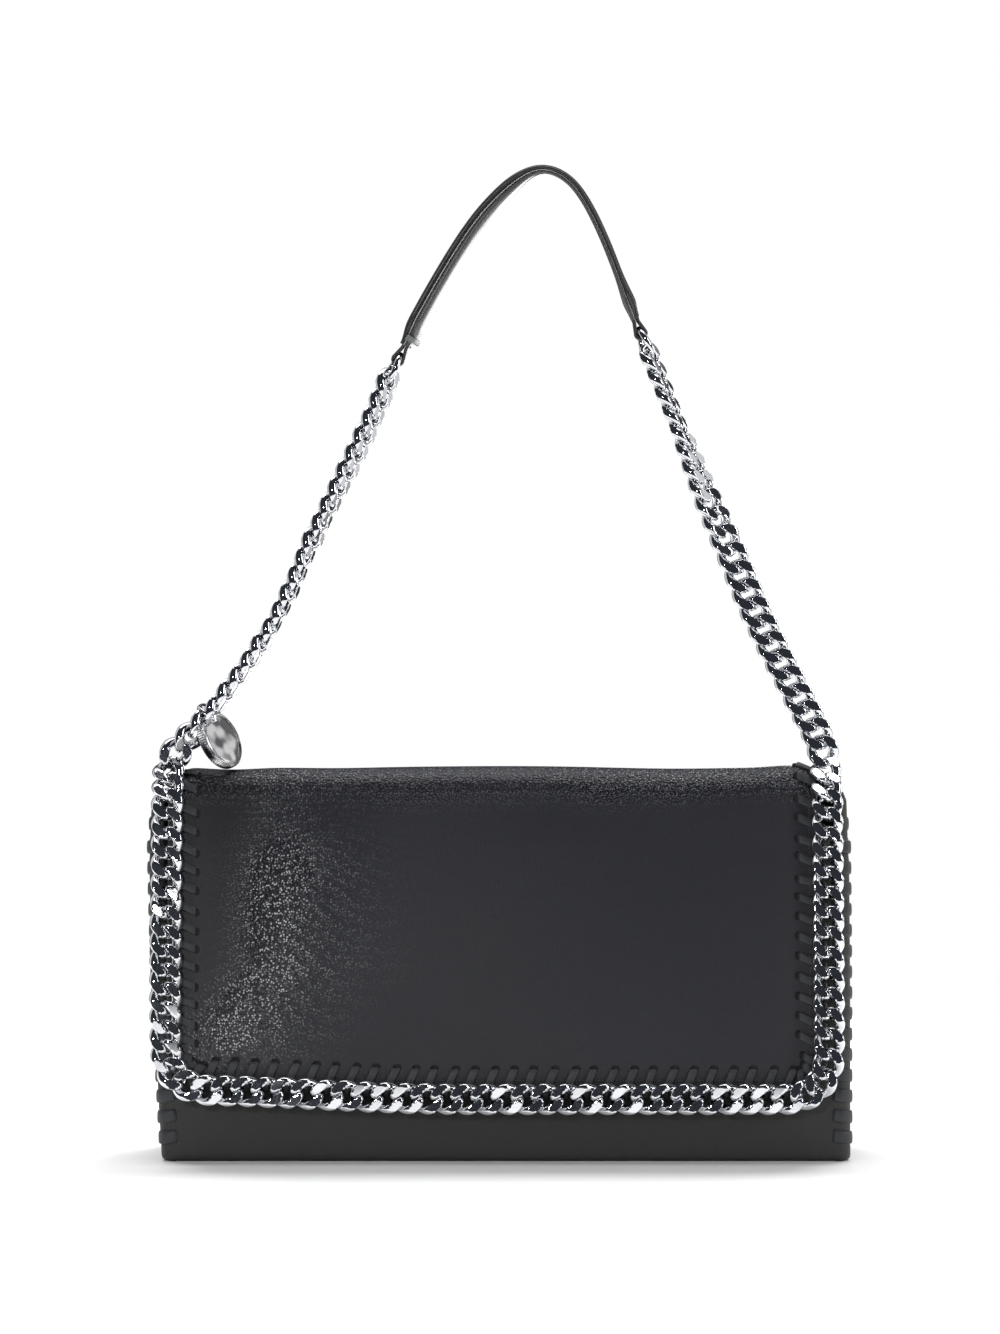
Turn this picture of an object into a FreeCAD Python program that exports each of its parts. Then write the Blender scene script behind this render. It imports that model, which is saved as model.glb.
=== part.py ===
import FreeCAD, Part
import math
import os

# Chain shoulder bag, in millimetres. X is to the right, the front faces -Y, Z is up from the base.

# Bag body
body_width = 262.0
base_depth = 52.0
front_height = 124.0
front_lean = 16.5
front_bulge = 4.0
back_lean_deg = 9.0
leather = 1.4
seam_gap = 0.3
gusset_front_drop = 4.0
gusset_back_drop = 6.0
base_board_thickness = 2.0
base_board_inset = 9.0
lining_thickness = 0.6
lining_inset = 8.5
lining_top_drop = 4.0

# Flap
flap_gap = 1.8
flap_lining_thickness = 0.8
flap_top_rise = 13.0
fold_radius = 10.6
chain_side_inset = 7.5
fold_side_inset = 8.0
chain_bottom_height = 25.0
chain_corner_radius = 14.0
leather_edge_inset = 2.0
leather_corner_radius = 12.0
flap_bend_drop = 16.0

# Curb chain
link_half_length = 5.1
link_half_width = 4.4
link_pitch = 7.4
wire = 2.2
link_twist = 45.0
flat_half_depth = 2.25
corner_half_width = 2.9
corner_rise = 14.5
corner_forward = 4.0

# Lacing strips
lace_width = 2.8
lace_thickness = 0.8
lace_clearance = 0.25
slot_clearance = 0.3
flap_lace_reach = 8.0
corner_lace_reach = 4.0
side_lace_reach = 5.5
side_lace_pitch = 7.7
side_lace_start = 9.0

# Shoulder strap
strap_links = 22
left_start_deg = 45.0
left_end_deg = 62.3
left_ramp_links = 8
right_start_deg = 57.0
right_end_deg = 66.5
right_ramp_links = 4
left_face_deg = 90.0
right_face_low_deg = 10.0
right_face_high_deg = 85.0
right_turn_first = 7
right_turn_last = 17

# Shoulder pad
pad_width = 14.0
pad_thickness = 5.6
pad_wall = 1.3
pad_top_radius = 22.5
pad_left_leg_deg = 61.0
pad_right_leg_deg = 68.0
loop_width = 4.6
loop_wall = 1.4
loop_clearance = 0.35
loop_slack = 1.7
loop_tab = 9.0
keeper_length = 3.0
keeper_thickness = 0.7

# Charm
charm_diameter = 22.6
charm_thickness = 3.4
charm_turn_deg = 50.0
charm_eye_radius = 1.9
charm_eye_wire = 1.2
charm_eye_root = 0.3
charm_link = 3
ring_radius = 4.0
ring_wire = 1.2
ring_clearance = 0.4

# Magnetic snap
snap_height = 60.0
snap_flange = 14.0
snap_flange_thickness = 0.6
snap_barrel = 8.4
snap_socket_bore = 6.4
snap_stud = 4.6
snap_stud_length = 2.2
snap_socket_depth = 3.4
snap_washer = 12.0
snap_washer_thickness = 0.6
snap_fit = 0.2
snap_seat = 0.1

# Inner pockets
zip_top_drop = 32.0
zip_end_inset = 13.0
zip_tape_width = 9.0
zip_tape_thickness = 0.6
zip_teeth_gap = 0.5
zip_tooth_width = 1.2
zip_tooth_height = 1.6
zip_tooth_length = 1.4
zip_tooth_pitch = 3.0
zip_seat = 0.1
slider_length = 9.0
slider_width = 7.0
slider_wall = 0.8
slider_clearance = 0.3
pull_length = 18.0
pull_width = 5.0
pull_thickness = 1.0
pull_pin = 1.2
pocket_side_inset = 43.0
pocket_bottom_height = 22.0
pocket_thickness = 1.2
slip_side_inset = 56.0
slip_top_height = 46.0
slip_bottom_height = 20.0
slip_thickness = 0.8

os.makedirs("parts", exist_ok=True)
half_width = body_width / 2
chain_half_span = half_width - chain_side_inset
fold_half_width = chain_half_span - fold_side_inset
flap_top_height = front_height + flap_top_rise
flap_bend_height = flap_top_height - flap_bend_drop
gusset_top_front = front_height - gusset_front_drop
gusset_top_back = flap_top_height - gusset_back_drop
zip_height = front_height - zip_top_drop
pocket_width = body_width - 2 * pocket_side_inset
zip_length = pocket_width - 2 * zip_end_inset
slip_width = body_width - 2 * slip_side_inset
panel_floor = leather
flap_thickness = leather + flap_lining_thickness
nodes = {}


def vec(x, y, z):
    return FreeCAD.Vector(x, y, z)


def smooth(t):
    t = min(max(t, 0.0), 1.0)
    return t * t * (3 - 2 * t)


def face_of(points):
    return Part.Face(Part.makePolygon(points + points[:1]))


def placed(shape, origin, x_axis, y_axis, z_axis):
    """A copy of shape with its own axes turned to the three given ones and its origin moved."""
    turn = FreeCAD.Matrix(
        x_axis.x, y_axis.x, z_axis.x, origin.x,
        x_axis.y, y_axis.y, z_axis.y, origin.y,
        x_axis.z, y_axis.z, z_axis.z, origin.z,
        0, 0, 0, 1,
    )
    copy = shape.copy()
    copy.Placement = FreeCAD.Placement(turn).multiply(copy.Placement)
    return copy


def box_between(low, high):
    size = high - low
    return Part.makeBox(size.x, size.y, size.z, low)


class BowedWall:
    """A wall that bows outwards on one circle in the YZ plane. side is -1 for the front, 1 for the back."""

    def __init__(self, centre_y, centre_z, radius, side):
        self.centre_y = centre_y
        self.centre_z = centre_z
        self.radius = radius
        self.side = side

    def angle(self, z, offset):
        return math.asin((z - self.centre_z) / (self.radius + offset))

    def point(self, angle, offset, x=0.0):
        reach = self.radius + offset
        y = self.centre_y + self.side * reach * math.cos(angle)
        return vec(x, y, self.centre_z + reach * math.sin(angle))

    def normal(self, angle):
        return vec(0, self.side * math.cos(angle), math.sin(angle))

    def upward(self, angle):
        return vec(0, -self.side * math.sin(angle), math.cos(angle))

    def arc(self, low_angle, high_angle, offset, x):
        middle = (low_angle + high_angle) / 2
        ends = [self.point(a, offset, x) for a in (low_angle, middle, high_angle)]
        return Part.Arc(*ends).toShape()

    def sheet(self, inner, outer, bottom_z, top_angle, half):
        """A sheet between two offsets, cut level at the bottom and square at the top."""
        x = -half
        low_in = self.angle(bottom_z, inner)
        low_out = self.angle(bottom_z, outer)
        edges = [
            self.arc(low_in, top_angle, inner, x),
            Part.makeLine(self.point(top_angle, inner, x), self.point(top_angle, outer, x)),
            self.arc(low_out, top_angle, outer, x),
            Part.makeLine(self.point(low_out, outer, x), self.point(low_in, inner, x)),
        ]
        profile = Part.Face(Part.Wire(Part.__sortEdges__(edges)))
        return profile.extrude(vec(2 * half, 0, 0))


def front_wall_from_sizes():
    foot = vec(0, -base_depth / 2, 0)
    top = vec(0, -base_depth / 2 + front_lean, front_height)
    chord = top - foot
    length = chord.Length
    radius = length ** 2 / (8 * front_bulge) + front_bulge / 2
    outward = vec(0, -chord.z, chord.y) / length
    centre = (foot + top) / 2 + outward * (front_bulge - radius)
    return BowedWall(centre.y, centre.z, radius, -1)


def back_wall_from_sizes(fold_centre):
    """The circle that leaves the fold's rear edge at its lean and comes down to the base's rear edge."""
    lean = math.radians(back_lean_deg)
    normal = vec(0, math.cos(lean), math.sin(lean))
    top = fold_centre + normal * (fold_radius + leather)
    foot = vec(0, base_depth / 2, 0)
    span = top - foot
    radius = span.dot(span) / (2 * span.dot(normal))
    centre = top - normal * radius
    return BowedWall(centre.y, centre.z, radius, 1)


front = front_wall_from_sizes()
lining_face = flap_gap
leather_back = flap_gap + flap_lining_thickness
leather_face = flap_gap + flap_thickness
chain_plane = leather_face + lace_clearance + lace_thickness + seam_gap + flat_half_depth
flap_top_angle = front.angle(flap_top_height, leather_back)
fold_centre = front.point(flap_top_angle, leather_back) - front.normal(flap_top_angle) * fold_radius
back = back_wall_from_sizes(fold_centre)
back_top_angle = math.radians(back_lean_deg)
front_top_angle = front.angle(front_height, 0)
hinge_y = fold_centre.y - corner_forward
hinge_z = fold_centre.z + corner_rise
link_overlap = 2 * link_half_length - link_pitch
corner_top_z = hinge_z + 2 * link_half_length - link_overlap


# Chain links

def biarc(start, start_way, end, end_way):
    """Two arcs that leave start along start_way and reach end along end_way."""
    span = end - start
    both = start_way + end_way
    spread = 2 * (1 - start_way.dot(end_way))
    along = span.dot(both)
    reach = (-along + math.sqrt(along ** 2 + spread * span.dot(span))) / spread
    joint = (start + end + (start_way - end_way) * reach) / 2
    arcs = []
    for begin, corner, finish in (
        (start, start + start_way * reach, joint),
        (joint, end - end_way * reach, end),
    ):
        middle = (begin + finish) / 2
        half_chord = (finish - begin).Length / 2
        turn = math.acos(half_chord / reach)
        bulge = math.tan(turn / 2) / math.tan(turn)
        arcs.append(Part.Arc(begin, middle + (corner - middle) * bulge, finish).toShape())
    return arcs


def link_point(t, low_deg, high_deg, half_width):
    """A point of a twisted oval: X along the chain, Y across it, Z out of its face."""
    along = link_half_length * math.cos(t)
    across = half_width * math.sin(t)
    share = (along + link_half_length) / (2 * link_half_length)
    turn = math.radians(low_deg + (high_deg - low_deg) * share)
    return vec(along, across * math.cos(turn), across * math.sin(turn))


def link_way(t, *oval):
    step = 1e-4
    way = link_point(t + step, *oval) - link_point(t - step, *oval)
    return way / way.Length


def make_link(low_deg, high_deg, flat=False, half_width=link_half_width):
    """One closed link whose lower bow is turned to low_deg and upper bow to high_deg."""
    oval = (low_deg, high_deg, half_width)
    halves = []
    quarter = math.pi / 2
    for first in (0, 2):
        arcs = []
        for k in (first, first + 1):
            ends = [k * quarter, (k + 1) * quarter]
            spots = [link_point(t, *oval) for t in ends]
            ways = [link_way(t, *oval) for t in ends]
            arcs += biarc(spots[0], ways[0], spots[1], ways[1])
        start = link_point(first * quarter, *oval)
        way = link_way(first * quarter, *oval)
        section = Part.Wire([Part.makeCircle(wire / 2, start, way)])
        halves.append(Part.Wire(arcs).makePipeShell([section], True, False))
    link = halves[0].fuse(halves[1])
    if flat:
        reach = 2 * link_half_length + wire
        slab = Part.makeBox(2 * reach, 2 * reach, 2 * flat_half_depth, vec(-reach, -reach, -flat_half_depth))
        link = link.common(slab)
    return link.Solids[0]


def set_link(link, centre, along, face, turn_deg=0.0):
    """A link in its place: its length along the chain, its flat turned from face about the chain."""
    along = along / along.Length
    face = face - along * face.dot(along)
    face = face / face.Length
    across = face.cross(along)
    turn = math.radians(turn_deg)
    turned_across = across * math.cos(turn) + face * math.sin(turn)
    turned_face = face * math.cos(turn) - across * math.sin(turn)
    return placed(link, centre, along, turned_across, turned_face)


curb_link = make_link(link_twist, -link_twist, True)


# Route of the chain round the flap, from the left corner down, across and up to the right corner

chain_reach = front.radius + chain_plane
join_angle = front.angle(flap_top_height - wire, chain_plane)
join_point = front.point(join_angle, chain_plane)
hinge_point = vec(0, hinge_y, hinge_z)
lead_in = (join_point - hinge_point).Length
foot_angle = front.angle(chain_bottom_height, chain_plane)
side_run = chain_reach * (join_angle - foot_angle) - chain_corner_radius
corner_run = chain_corner_radius * math.pi / 2
bottom_run = 2 * (chain_half_span - chain_corner_radius)
route_length = 2 * (lead_in + side_run + corner_run) + bottom_run


def route(s, offset=0.0):
    """Point and outward normal of the chain's middle, s along the route, moved out by offset."""
    mirrored = s > route_length / 2
    if mirrored:
        s = route_length - s
    x = -chain_half_span
    fall = s - lead_in
    if fall > side_run + corner_run:
        x += chain_corner_radius + fall - side_run - corner_run
        fall = side_run + chain_corner_radius
    elif fall > side_run:
        turn = (fall - side_run) / chain_corner_radius
        x += chain_corner_radius * (1 - math.cos(turn))
        fall = side_run + chain_corner_radius * math.sin(turn)
    if mirrored:
        x = -x
    if fall < 0:
        down = (join_point - hinge_point) / lead_in
        spot = hinge_point + down * (lead_in + fall)
        normal = vec(0, down.z, -down.y)
    else:
        angle = join_angle - fall / chain_reach
        spot = front.point(angle, chain_plane)
        normal = front.normal(angle)
    spot = spot + normal * offset
    return vec(x, spot.y, spot.z), normal


flap_links = round((route_length - 2 * link_half_length) / link_pitch) + 1
flap_pitch = (route_length - 2 * link_half_length) / (flap_links - 1)


def link_station(k):
    return link_half_length + k * flap_pitch


def flap_frame(s, reach):
    """Middle, direction along the route and outward normal for a piece that spans reach each way."""
    before, normal_before = route(s - reach)
    after, normal_after = route(s + reach)
    return (before + after) / 2, after - before, normal_before + normal_after


def build_flap_chain():
    first_side = lead_in + side_run + corner_run / 2
    groups = {"flap_chain_left": [], "flap_chain_bottom": [], "flap_chain_right": []}
    left_top = make_link(0, -link_twist)
    right_top = make_link(link_twist, 0)
    for k in range(flap_links):
        s = link_station(k)
        centre, along, face = flap_frame(s, flap_pitch / 2)
        link = curb_link
        if k == 0:
            link = left_top
        if k == flap_links - 1:
            link = right_top
        name = "flap_chain_bottom"
        if s < first_side:
            name = "flap_chain_left"
        if s > route_length - first_side:
            name = "flap_chain_right"
        groups[name].append(set_link(link, centre, along, face))
    for name, links in groups.items():
        nodes[name] = Part.Compound(links)


# Flap leather, its lining and the lacing along its edge

def flap_outline():
    """A prism of the flap as seen from the front, below the fold, with its rounded lower corners."""
    half = chain_half_span - leather_edge_inset
    low = chain_bottom_height + leather_edge_inset
    r = leather_corner_radius
    top = flap_bend_height
    bend = r * (1 - math.sqrt(0.5))
    y = -2 * base_depth
    edges = [
        Part.makeLine(vec(-half, y, top), vec(-half, y, low + r)),
        Part.Arc(vec(-half, y, low + r), vec(-half + bend, y, low + bend), vec(-half + r, y, low)).toShape(),
        Part.makeLine(vec(-half + r, y, low), vec(half - r, y, low)),
        Part.Arc(vec(half - r, y, low), vec(half - bend, y, low + bend), vec(half, y, low + r)).toShape(),
        Part.makeLine(vec(half, y, low + r), vec(half, y, top)),
        Part.makeLine(vec(half, y, top), vec(-half, y, top)),
    ]
    return Part.Face(Part.Wire(edges)).extrude(vec(0, -2 * y, 0))


def ring_strip(low, high, width):
    """A flat closed strip of lace in the YZ plane: low and high are its inner corners (y, z)."""
    t = lace_thickness
    outer = box_between(vec(-width / 2, low[0] - t, low[1] - t), vec(width / 2, high[0] + t, high[1] + t))
    inner = box_between(vec(-width / 2, low[0], low[1]), vec(width / 2, high[0], high[1]))
    return outer.cut(inner)


def flap_lace_stations():
    first = lead_in + chain_reach * (join_angle - front.angle(flap_bend_height - lace_width, chain_plane))
    count = int((route_length - 2 * first) / flap_pitch)
    start = (route_length - count * flap_pitch) / 2
    return [start + k * flap_pitch for k in range(count + 1)]


def flap_lace_length(s):
    """How far a strip reaches in from the edge: less in the corners, where the strips fan."""
    side = min(s, route_length - s) - lead_in - side_run
    in_corner = 0 < side < corner_run
    return corner_lace_reach if in_corner else flap_lace_reach


def flap_strip_and_slot(length):
    strip = ring_strip(
        (leather_edge_inset - lace_clearance, -lace_clearance),
        (leather_edge_inset + length, flap_thickness + lace_clearance),
        lace_width,
    )
    slot_half = lace_width / 2 + slot_clearance
    slot_in = leather_edge_inset + length - slot_clearance
    slot_out = slot_in + lace_thickness + 2 * slot_clearance
    slot = box_between(vec(-slot_half, slot_in, -leather), vec(slot_half, slot_out, flap_thickness + leather))
    return strip, slot


def flap_lace_place(shape, s):
    """Moves a strip or slot, drawn with Y towards the flap's middle and Z outwards, to its station."""
    spot, along, face = flap_frame(s, lace_width / 2)
    along = along / along.Length
    face = face / face.Length
    inward = face.cross(along)
    return placed(shape, spot - face * (chain_plane - lining_face), along, inward, face)


def build_flap():
    outline = flap_outline()
    low = chain_bottom_height - link_half_width
    half = chain_half_span
    outer = front.sheet(leather_back, leather_face, low, flap_top_angle, half).common(outline)
    lining = front.sheet(lining_face, leather_back, low, flap_top_angle, half).common(outline)
    first_side = lead_in + side_run + corner_run / 2
    groups = {"flap_lacing_left": [], "flap_lacing_bottom": [], "flap_lacing_right": []}
    slots = []
    for s in flap_lace_stations():
        name = "flap_lacing_bottom"
        if s < first_side:
            name = "flap_lacing_left"
        if s > route_length - first_side:
            name = "flap_lacing_right"
        strip, slot = flap_strip_and_slot(flap_lace_length(s))
        groups[name].append(flap_lace_place(strip, s))
        slots.append(flap_lace_place(slot, s))
    for name, strips in groups.items():
        nodes[name] = Part.Compound(strips)
    holes = Part.Compound(slots)
    stud_angle = front.angle(snap_height, 0)
    outward = front.normal(stud_angle)
    shank = snap_barrel / 2
    stud_hole = Part.makeCylinder(shank, flap_thickness, front.point(stud_angle, flap_gap - leather), outward)
    washer_pocket = Part.makeCylinder(
        snap_washer / 2 + snap_fit,
        snap_washer_thickness + leather,
        front.point(stud_angle, leather_back - leather + snap_fit),
        outward,
    )
    nodes["flap_outer"] = outer.cut(holes).cut(washer_pocket)
    nodes["flap_lining"] = lining.cut(holes).cut(stud_hole)


def fold_sector(inner, outer):
    """The leather that rolls over from the back panel and comes down to where the flap hangs stiff."""
    start = back_top_angle
    end = math.pi - flap_top_angle
    x = -fold_half_width

    def spot(angle, radius):
        return vec(x, fold_centre.y + radius * math.cos(angle), fold_centre.z + radius * math.sin(angle))

    middle = (start + end) / 2
    edges = [
        Part.Arc(*[spot(a, outer) for a in (start, middle, end)]).toShape(),
        Part.makeLine(spot(end, outer), spot(end, inner)),
        Part.Arc(*[spot(a, inner) for a in (end, middle, start)]).toShape(),
        Part.makeLine(spot(start, inner), spot(start, outer)),
    ]
    roll = Part.Face(Part.Wire(edges)).extrude(vec(2 * fold_half_width, 0, 0))
    lift = leather_back - fold_radius
    apron = front.sheet(inner + lift, outer + lift, flap_bend_height, flap_top_angle, fold_half_width)
    return roll.fuse(apron).removeSplitter().Solids[0]


def build_fold():
    nodes["flap_fold"] = fold_sector(fold_radius, fold_radius + leather)
    nodes["flap_fold_lining"] = fold_sector(fold_radius - flap_lining_thickness, fold_radius)


# Body panels with their laced side edges

def corner_strip():
    """A closed strip round a laced corner: X outwards from the bag's side, Y outwards from the panel."""
    t = lace_thickness
    c = lace_clearance
    reach = side_lace_reach
    inside = leather + c
    inner = [
        vec(-reach, c, 0),
        vec(c, c, 0),
        vec(c, -reach, 0),
        vec(-inside, -reach, 0),
        vec(-reach, -inside, 0),
    ]
    outer = [
        vec(-reach - t, c + t, 0),
        vec(c + t, c + t, 0),
        vec(c + t, -reach - t, 0),
        vec(-inside - t, -reach - t, 0),
        vec(-reach - t, -inside - t, 0),
    ]
    ring = face_of(outer).cut(face_of(inner))
    strip = ring.extrude(vec(0, 0, lace_width))
    strip.translate(vec(0, 0, -lace_width / 2))
    return strip.Solids[0]


def corner_slots():
    """The slot in the panel and the slot in the gusset that one corner strip passes through."""
    half = lace_width / 2 + slot_clearance
    near = -side_lace_reach + slot_clearance
    far = -side_lace_reach - lace_thickness - slot_clearance
    panel_slot = box_between(vec(far, -2 * leather, -half), vec(near, leather, half))
    gusset_slot = box_between(vec(-2 * leather, far, -half), vec(leather, near, half))
    return panel_slot, gusset_slot


def side_lace_heights(top):
    count = int((top - side_lace_start) / side_lace_pitch)
    return [side_lace_start + k * side_lace_pitch for k in range(count + 1)]


def build_body():
    strip = corner_strip()
    panel_slot, gusset_slot = corner_slots()
    panel_slots = {-1: [], 1: []}
    gusset_slots = {"left": [], "right": []}
    for wall, wall_name, top in (
        (front, "front", gusset_top_front - lace_width),
        (back, "back", gusset_top_back - lace_width),
    ):
        for hand, sign in (("left", -1), ("right", 1)):
            strips = []
            for z in side_lace_heights(top):
                angle = wall.angle(z, 0)
                axes = [vec(sign, 0, 0), wall.normal(angle)]
                axes.append(axes[0].cross(axes[1]))
                spot = wall.point(angle, 0, sign * half_width)
                strips.append(placed(strip, spot, *axes))
                panel_slots[wall.side].append(placed(panel_slot, spot, *axes))
                gusset_slots[hand].append(placed(gusset_slot, spot, *axes))
            nodes["side_lacing_" + wall_name + "_" + hand] = Part.Compound(strips)
    front_panel = front.sheet(-leather, 0, panel_floor, front_top_angle, half_width)
    back_panel = back.sheet(-leather, 0, panel_floor, back_top_angle, half_width)
    stud_angle = front.angle(snap_height, 0)
    barrel_hole = Part.makeCylinder(
        snap_barrel / 2 + snap_fit, 4 * leather, front.point(stud_angle, -2 * leather), front.normal(stud_angle)
    )
    nodes["front_panel"] = front_panel.cut(Part.Compound(panel_slots[-1])).cut(barrel_hole)
    nodes["back_panel"] = back_panel.cut(Part.Compound(panel_slots[1]))
    for hand, x in (("left", -half_width), ("right", half_width - leather)):
        nodes["gusset_" + hand] = gusset_plate(x).cut(Part.Compound(gusset_slots[hand]))
    nodes["base_panel"] = box_between(
        vec(-half_width, -base_depth / 2, 0), vec(half_width, base_depth / 2, leather)
    )
    inset = base_board_inset
    board_half_depth = base_depth / 2 - inset
    nodes["base_board"] = box_between(
        vec(inset - half_width, -board_half_depth, leather),
        vec(half_width - inset, board_half_depth, leather + base_board_thickness),
    )


def gusset_plate(x):
    """A side wall between the two panels, with a slanted top edge."""
    inner = -leather - seam_gap
    front_low = front.angle(panel_floor, inner)
    front_high = front.angle(gusset_top_front, inner)
    back_low = back.angle(panel_floor, inner)
    back_high = back.angle(gusset_top_back, inner)
    edges = [
        front.arc(front_low, front_high, inner, x),
        Part.makeLine(front.point(front_high, inner, x), back.point(back_high, inner, x)),
        back.arc(back_low, back_high, inner, x),
        Part.makeLine(back.point(back_low, inner, x), front.point(front_low, inner, x)),
    ]
    return Part.Face(Part.Wire(Part.__sortEdges__(edges))).extrude(vec(leather, 0, 0))


lining_floor = leather + base_board_thickness + seam_gap
lining_top = front_height - lining_top_drop


def pouch(inset, floor, top, half):
    """The space inside the bag, inset from the panels' inner faces."""
    offset = -leather - inset
    x = -half
    angles = [wall.angle(z, offset) for wall in (front, back) for z in (floor, top)]
    edges = [
        front.arc(angles[0], angles[1], offset, x),
        Part.makeLine(front.point(angles[1], offset, x), back.point(angles[3], offset, x)),
        back.arc(angles[2], angles[3], offset, x),
        Part.makeLine(back.point(angles[2], offset, x), front.point(angles[0], offset, x)),
    ]
    return Part.Face(Part.Wire(Part.__sortEdges__(edges))).extrude(vec(2 * half, 0, 0))


def build_lining():
    half = half_width - lining_inset
    outer = pouch(seam_gap, lining_floor, lining_top, half)
    hollow = pouch(
        seam_gap + lining_thickness, lining_floor + lining_thickness, lining_top + leather, half - lining_thickness
    )
    stud_angle = front.angle(snap_height, 0)
    barrel_hole = Part.makeCylinder(
        snap_barrel / 2 + snap_fit, 6 * leather, front.point(stud_angle, -4 * leather), front.normal(stud_angle)
    )
    nodes["lining"] = outer.cut(hollow).cut(barrel_hole)


# Magnetic snap

def build_snap():
    angle = front.angle(snap_height, 0)
    outward = front.normal(angle)

    def disc(diameter, thickness, offset):
        return Part.makeCylinder(diameter / 2, thickness, front.point(angle, offset), outward)

    wall = leather + seam_gap + lining_thickness + seam_gap
    socket = disc(snap_flange, snap_flange_thickness, 0)
    socket = socket.fuse(disc(snap_barrel, wall + snap_washer_thickness, -wall - snap_washer_thickness))
    bore_depth = snap_socket_depth
    nodes["snap_socket"] = socket.cut(
        disc(snap_socket_bore, bore_depth, snap_flange_thickness - bore_depth + snap_fit / 2)
    ).Solids[0]
    washer = disc(snap_washer, snap_washer_thickness, -wall - snap_washer_thickness)
    nodes["snap_backing"] = washer.cut(disc(snap_barrel + snap_fit, 3 * leather, -wall - leather))
    flange_face = lining_face - snap_seat - snap_flange_thickness
    stud = disc(snap_flange, snap_flange_thickness, flange_face)
    stud = stud.fuse(disc(snap_stud, snap_stud_length, flange_face - snap_stud_length))
    shank_top = leather_back + snap_washer_thickness
    shank_foot = lining_face - snap_seat
    stud = stud.fuse(disc(snap_barrel - 2 * snap_fit, shank_top - shank_foot, shank_foot))
    nodes["snap_stud"] = stud.Solids[0]
    stud_washer = disc(snap_washer, snap_washer_thickness, leather_back)
    nodes["snap_stud_washer"] = stud_washer.cut(disc(snap_barrel, 3 * leather, leather_back - leather))


# Corner links and the two strap chains

def strap_angles(start_deg, end_deg, ramp):
    return [start_deg + (end_deg - start_deg) * smooth(k / ramp) for k in range(strap_links)]


def right_face_deg(k):
    share = smooth((k - right_turn_first) / (right_turn_last - right_turn_first))
    return right_face_low_deg + (right_face_high_deg - right_face_low_deg) * share


def strap_points(sign, angles):
    """The places where neighbouring links of one strap chain meet, from the corner up to the pad."""
    ways = [vec(-sign * math.cos(math.radians(a)), 0, math.sin(math.radians(a))) for a in angles]
    spot = vec(sign * chain_half_span, hinge_y, corner_top_z) - ways[0] * (link_overlap / 2)
    spots = [spot]
    for way in ways:
        spots.append(spots[-1] + way * link_pitch)
    return spots


left_angles = strap_angles(left_start_deg, left_end_deg, left_ramp_links)
right_angles = strap_angles(right_start_deg, right_end_deg, right_ramp_links)
left_spots = strap_points(-1, left_angles)
right_spots = strap_points(1, right_angles)
front_way = vec(0, -1, 0)


def build_strap():
    upright = make_link(90, 90, False, corner_half_width)
    corner_centre_z = corner_top_z - link_half_length
    for hand, sign in (("left", -1), ("right", 1)):
        centre = vec(sign * chain_half_span, hinge_y, corner_centre_z)
        nodes["corner_link_" + hand] = set_link(upright, centre, vec(0, 0, 1), front_way)
    for hand, spots in (("left", left_spots), ("right", right_spots)):
        links = []
        for k in range(strap_links):
            turn = left_face_deg if hand == "left" else right_face_deg(k)
            link = curb_link
            if k == 0:
                link = make_link(-turn, -link_twist)
            centre = (spots[k] + spots[k + 1]) / 2
            links.append(set_link(link, centre, spots[k + 1] - spots[k], front_way, turn))
        nodes["strap_chain_" + hand] = Part.Compound(links)


# Shoulder pad

def leg_way(sign, deg):
    return vec(-sign * math.cos(math.radians(deg)), 0, math.sin(math.radians(deg)))


def pad_path(start_drop):
    """Left leg, arch and right leg of the pad's middle line, start_drop up from the chains' last points."""
    left_way = leg_way(-1, pad_left_leg_deg)
    right_way = leg_way(1, pad_right_leg_deg)
    left_start = left_spots[-1]
    right_start = right_spots[-1]
    gap = right_start - left_start
    cross = left_way.x * right_way.z - left_way.z * right_way.x
    left_reach = (gap.x * right_way.z - gap.z * right_way.x) / cross
    peak = left_start + left_way * left_reach
    half_turn = math.radians((pad_left_leg_deg + pad_right_leg_deg) / 2)
    tangent = pad_top_radius * math.tan(half_turn)
    left_end = peak - left_way * tangent
    right_end = peak - right_way * tangent
    down = left_way + right_way
    down = down / -down.Length
    crown = peak + down * (pad_top_radius / math.cos(half_turn) - pad_top_radius)
    start = left_start + left_way * start_drop
    finish = right_start + right_way * start_drop
    return Part.Wire([
        Part.makeLine(start, left_end),
        Part.Arc(left_end, crown, right_end).toShape(),
        Part.makeLine(right_end, finish),
    ])


def pad_section(width, thickness, spot, way):
    """A flat section with round edges, square to way, its width along Y."""
    r = thickness / 2
    flat = width / 2 - r
    side = way.cross(vec(0, 1, 0))
    along = vec(0, 1, 0)
    corners = [spot + along * (flat * i) + side * (r * j) for i, j in ((-1, -1), (1, -1), (1, 1), (-1, 1))]
    ends = [spot + along * (flat + r), spot - along * (flat + r)]
    return Part.Wire([
        Part.makeLine(corners[0], corners[1]),
        Part.Arc(corners[1], ends[0], corners[2]).toShape(),
        Part.makeLine(corners[2], corners[3]),
        Part.Arc(corners[3], ends[1], corners[0]).toShape(),
    ])


pad_apex_rise = link_half_length + link_pitch / 2
pad_start = pad_apex_rise + loop_tab


def pad_tube(width, thickness):
    path = pad_path(pad_start)
    left_way = leg_way(-1, pad_left_leg_deg)
    section = pad_section(width, thickness, left_spots[-1] + left_way * pad_start, left_way)
    return path.makePipeShell([section], True, False)


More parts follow.
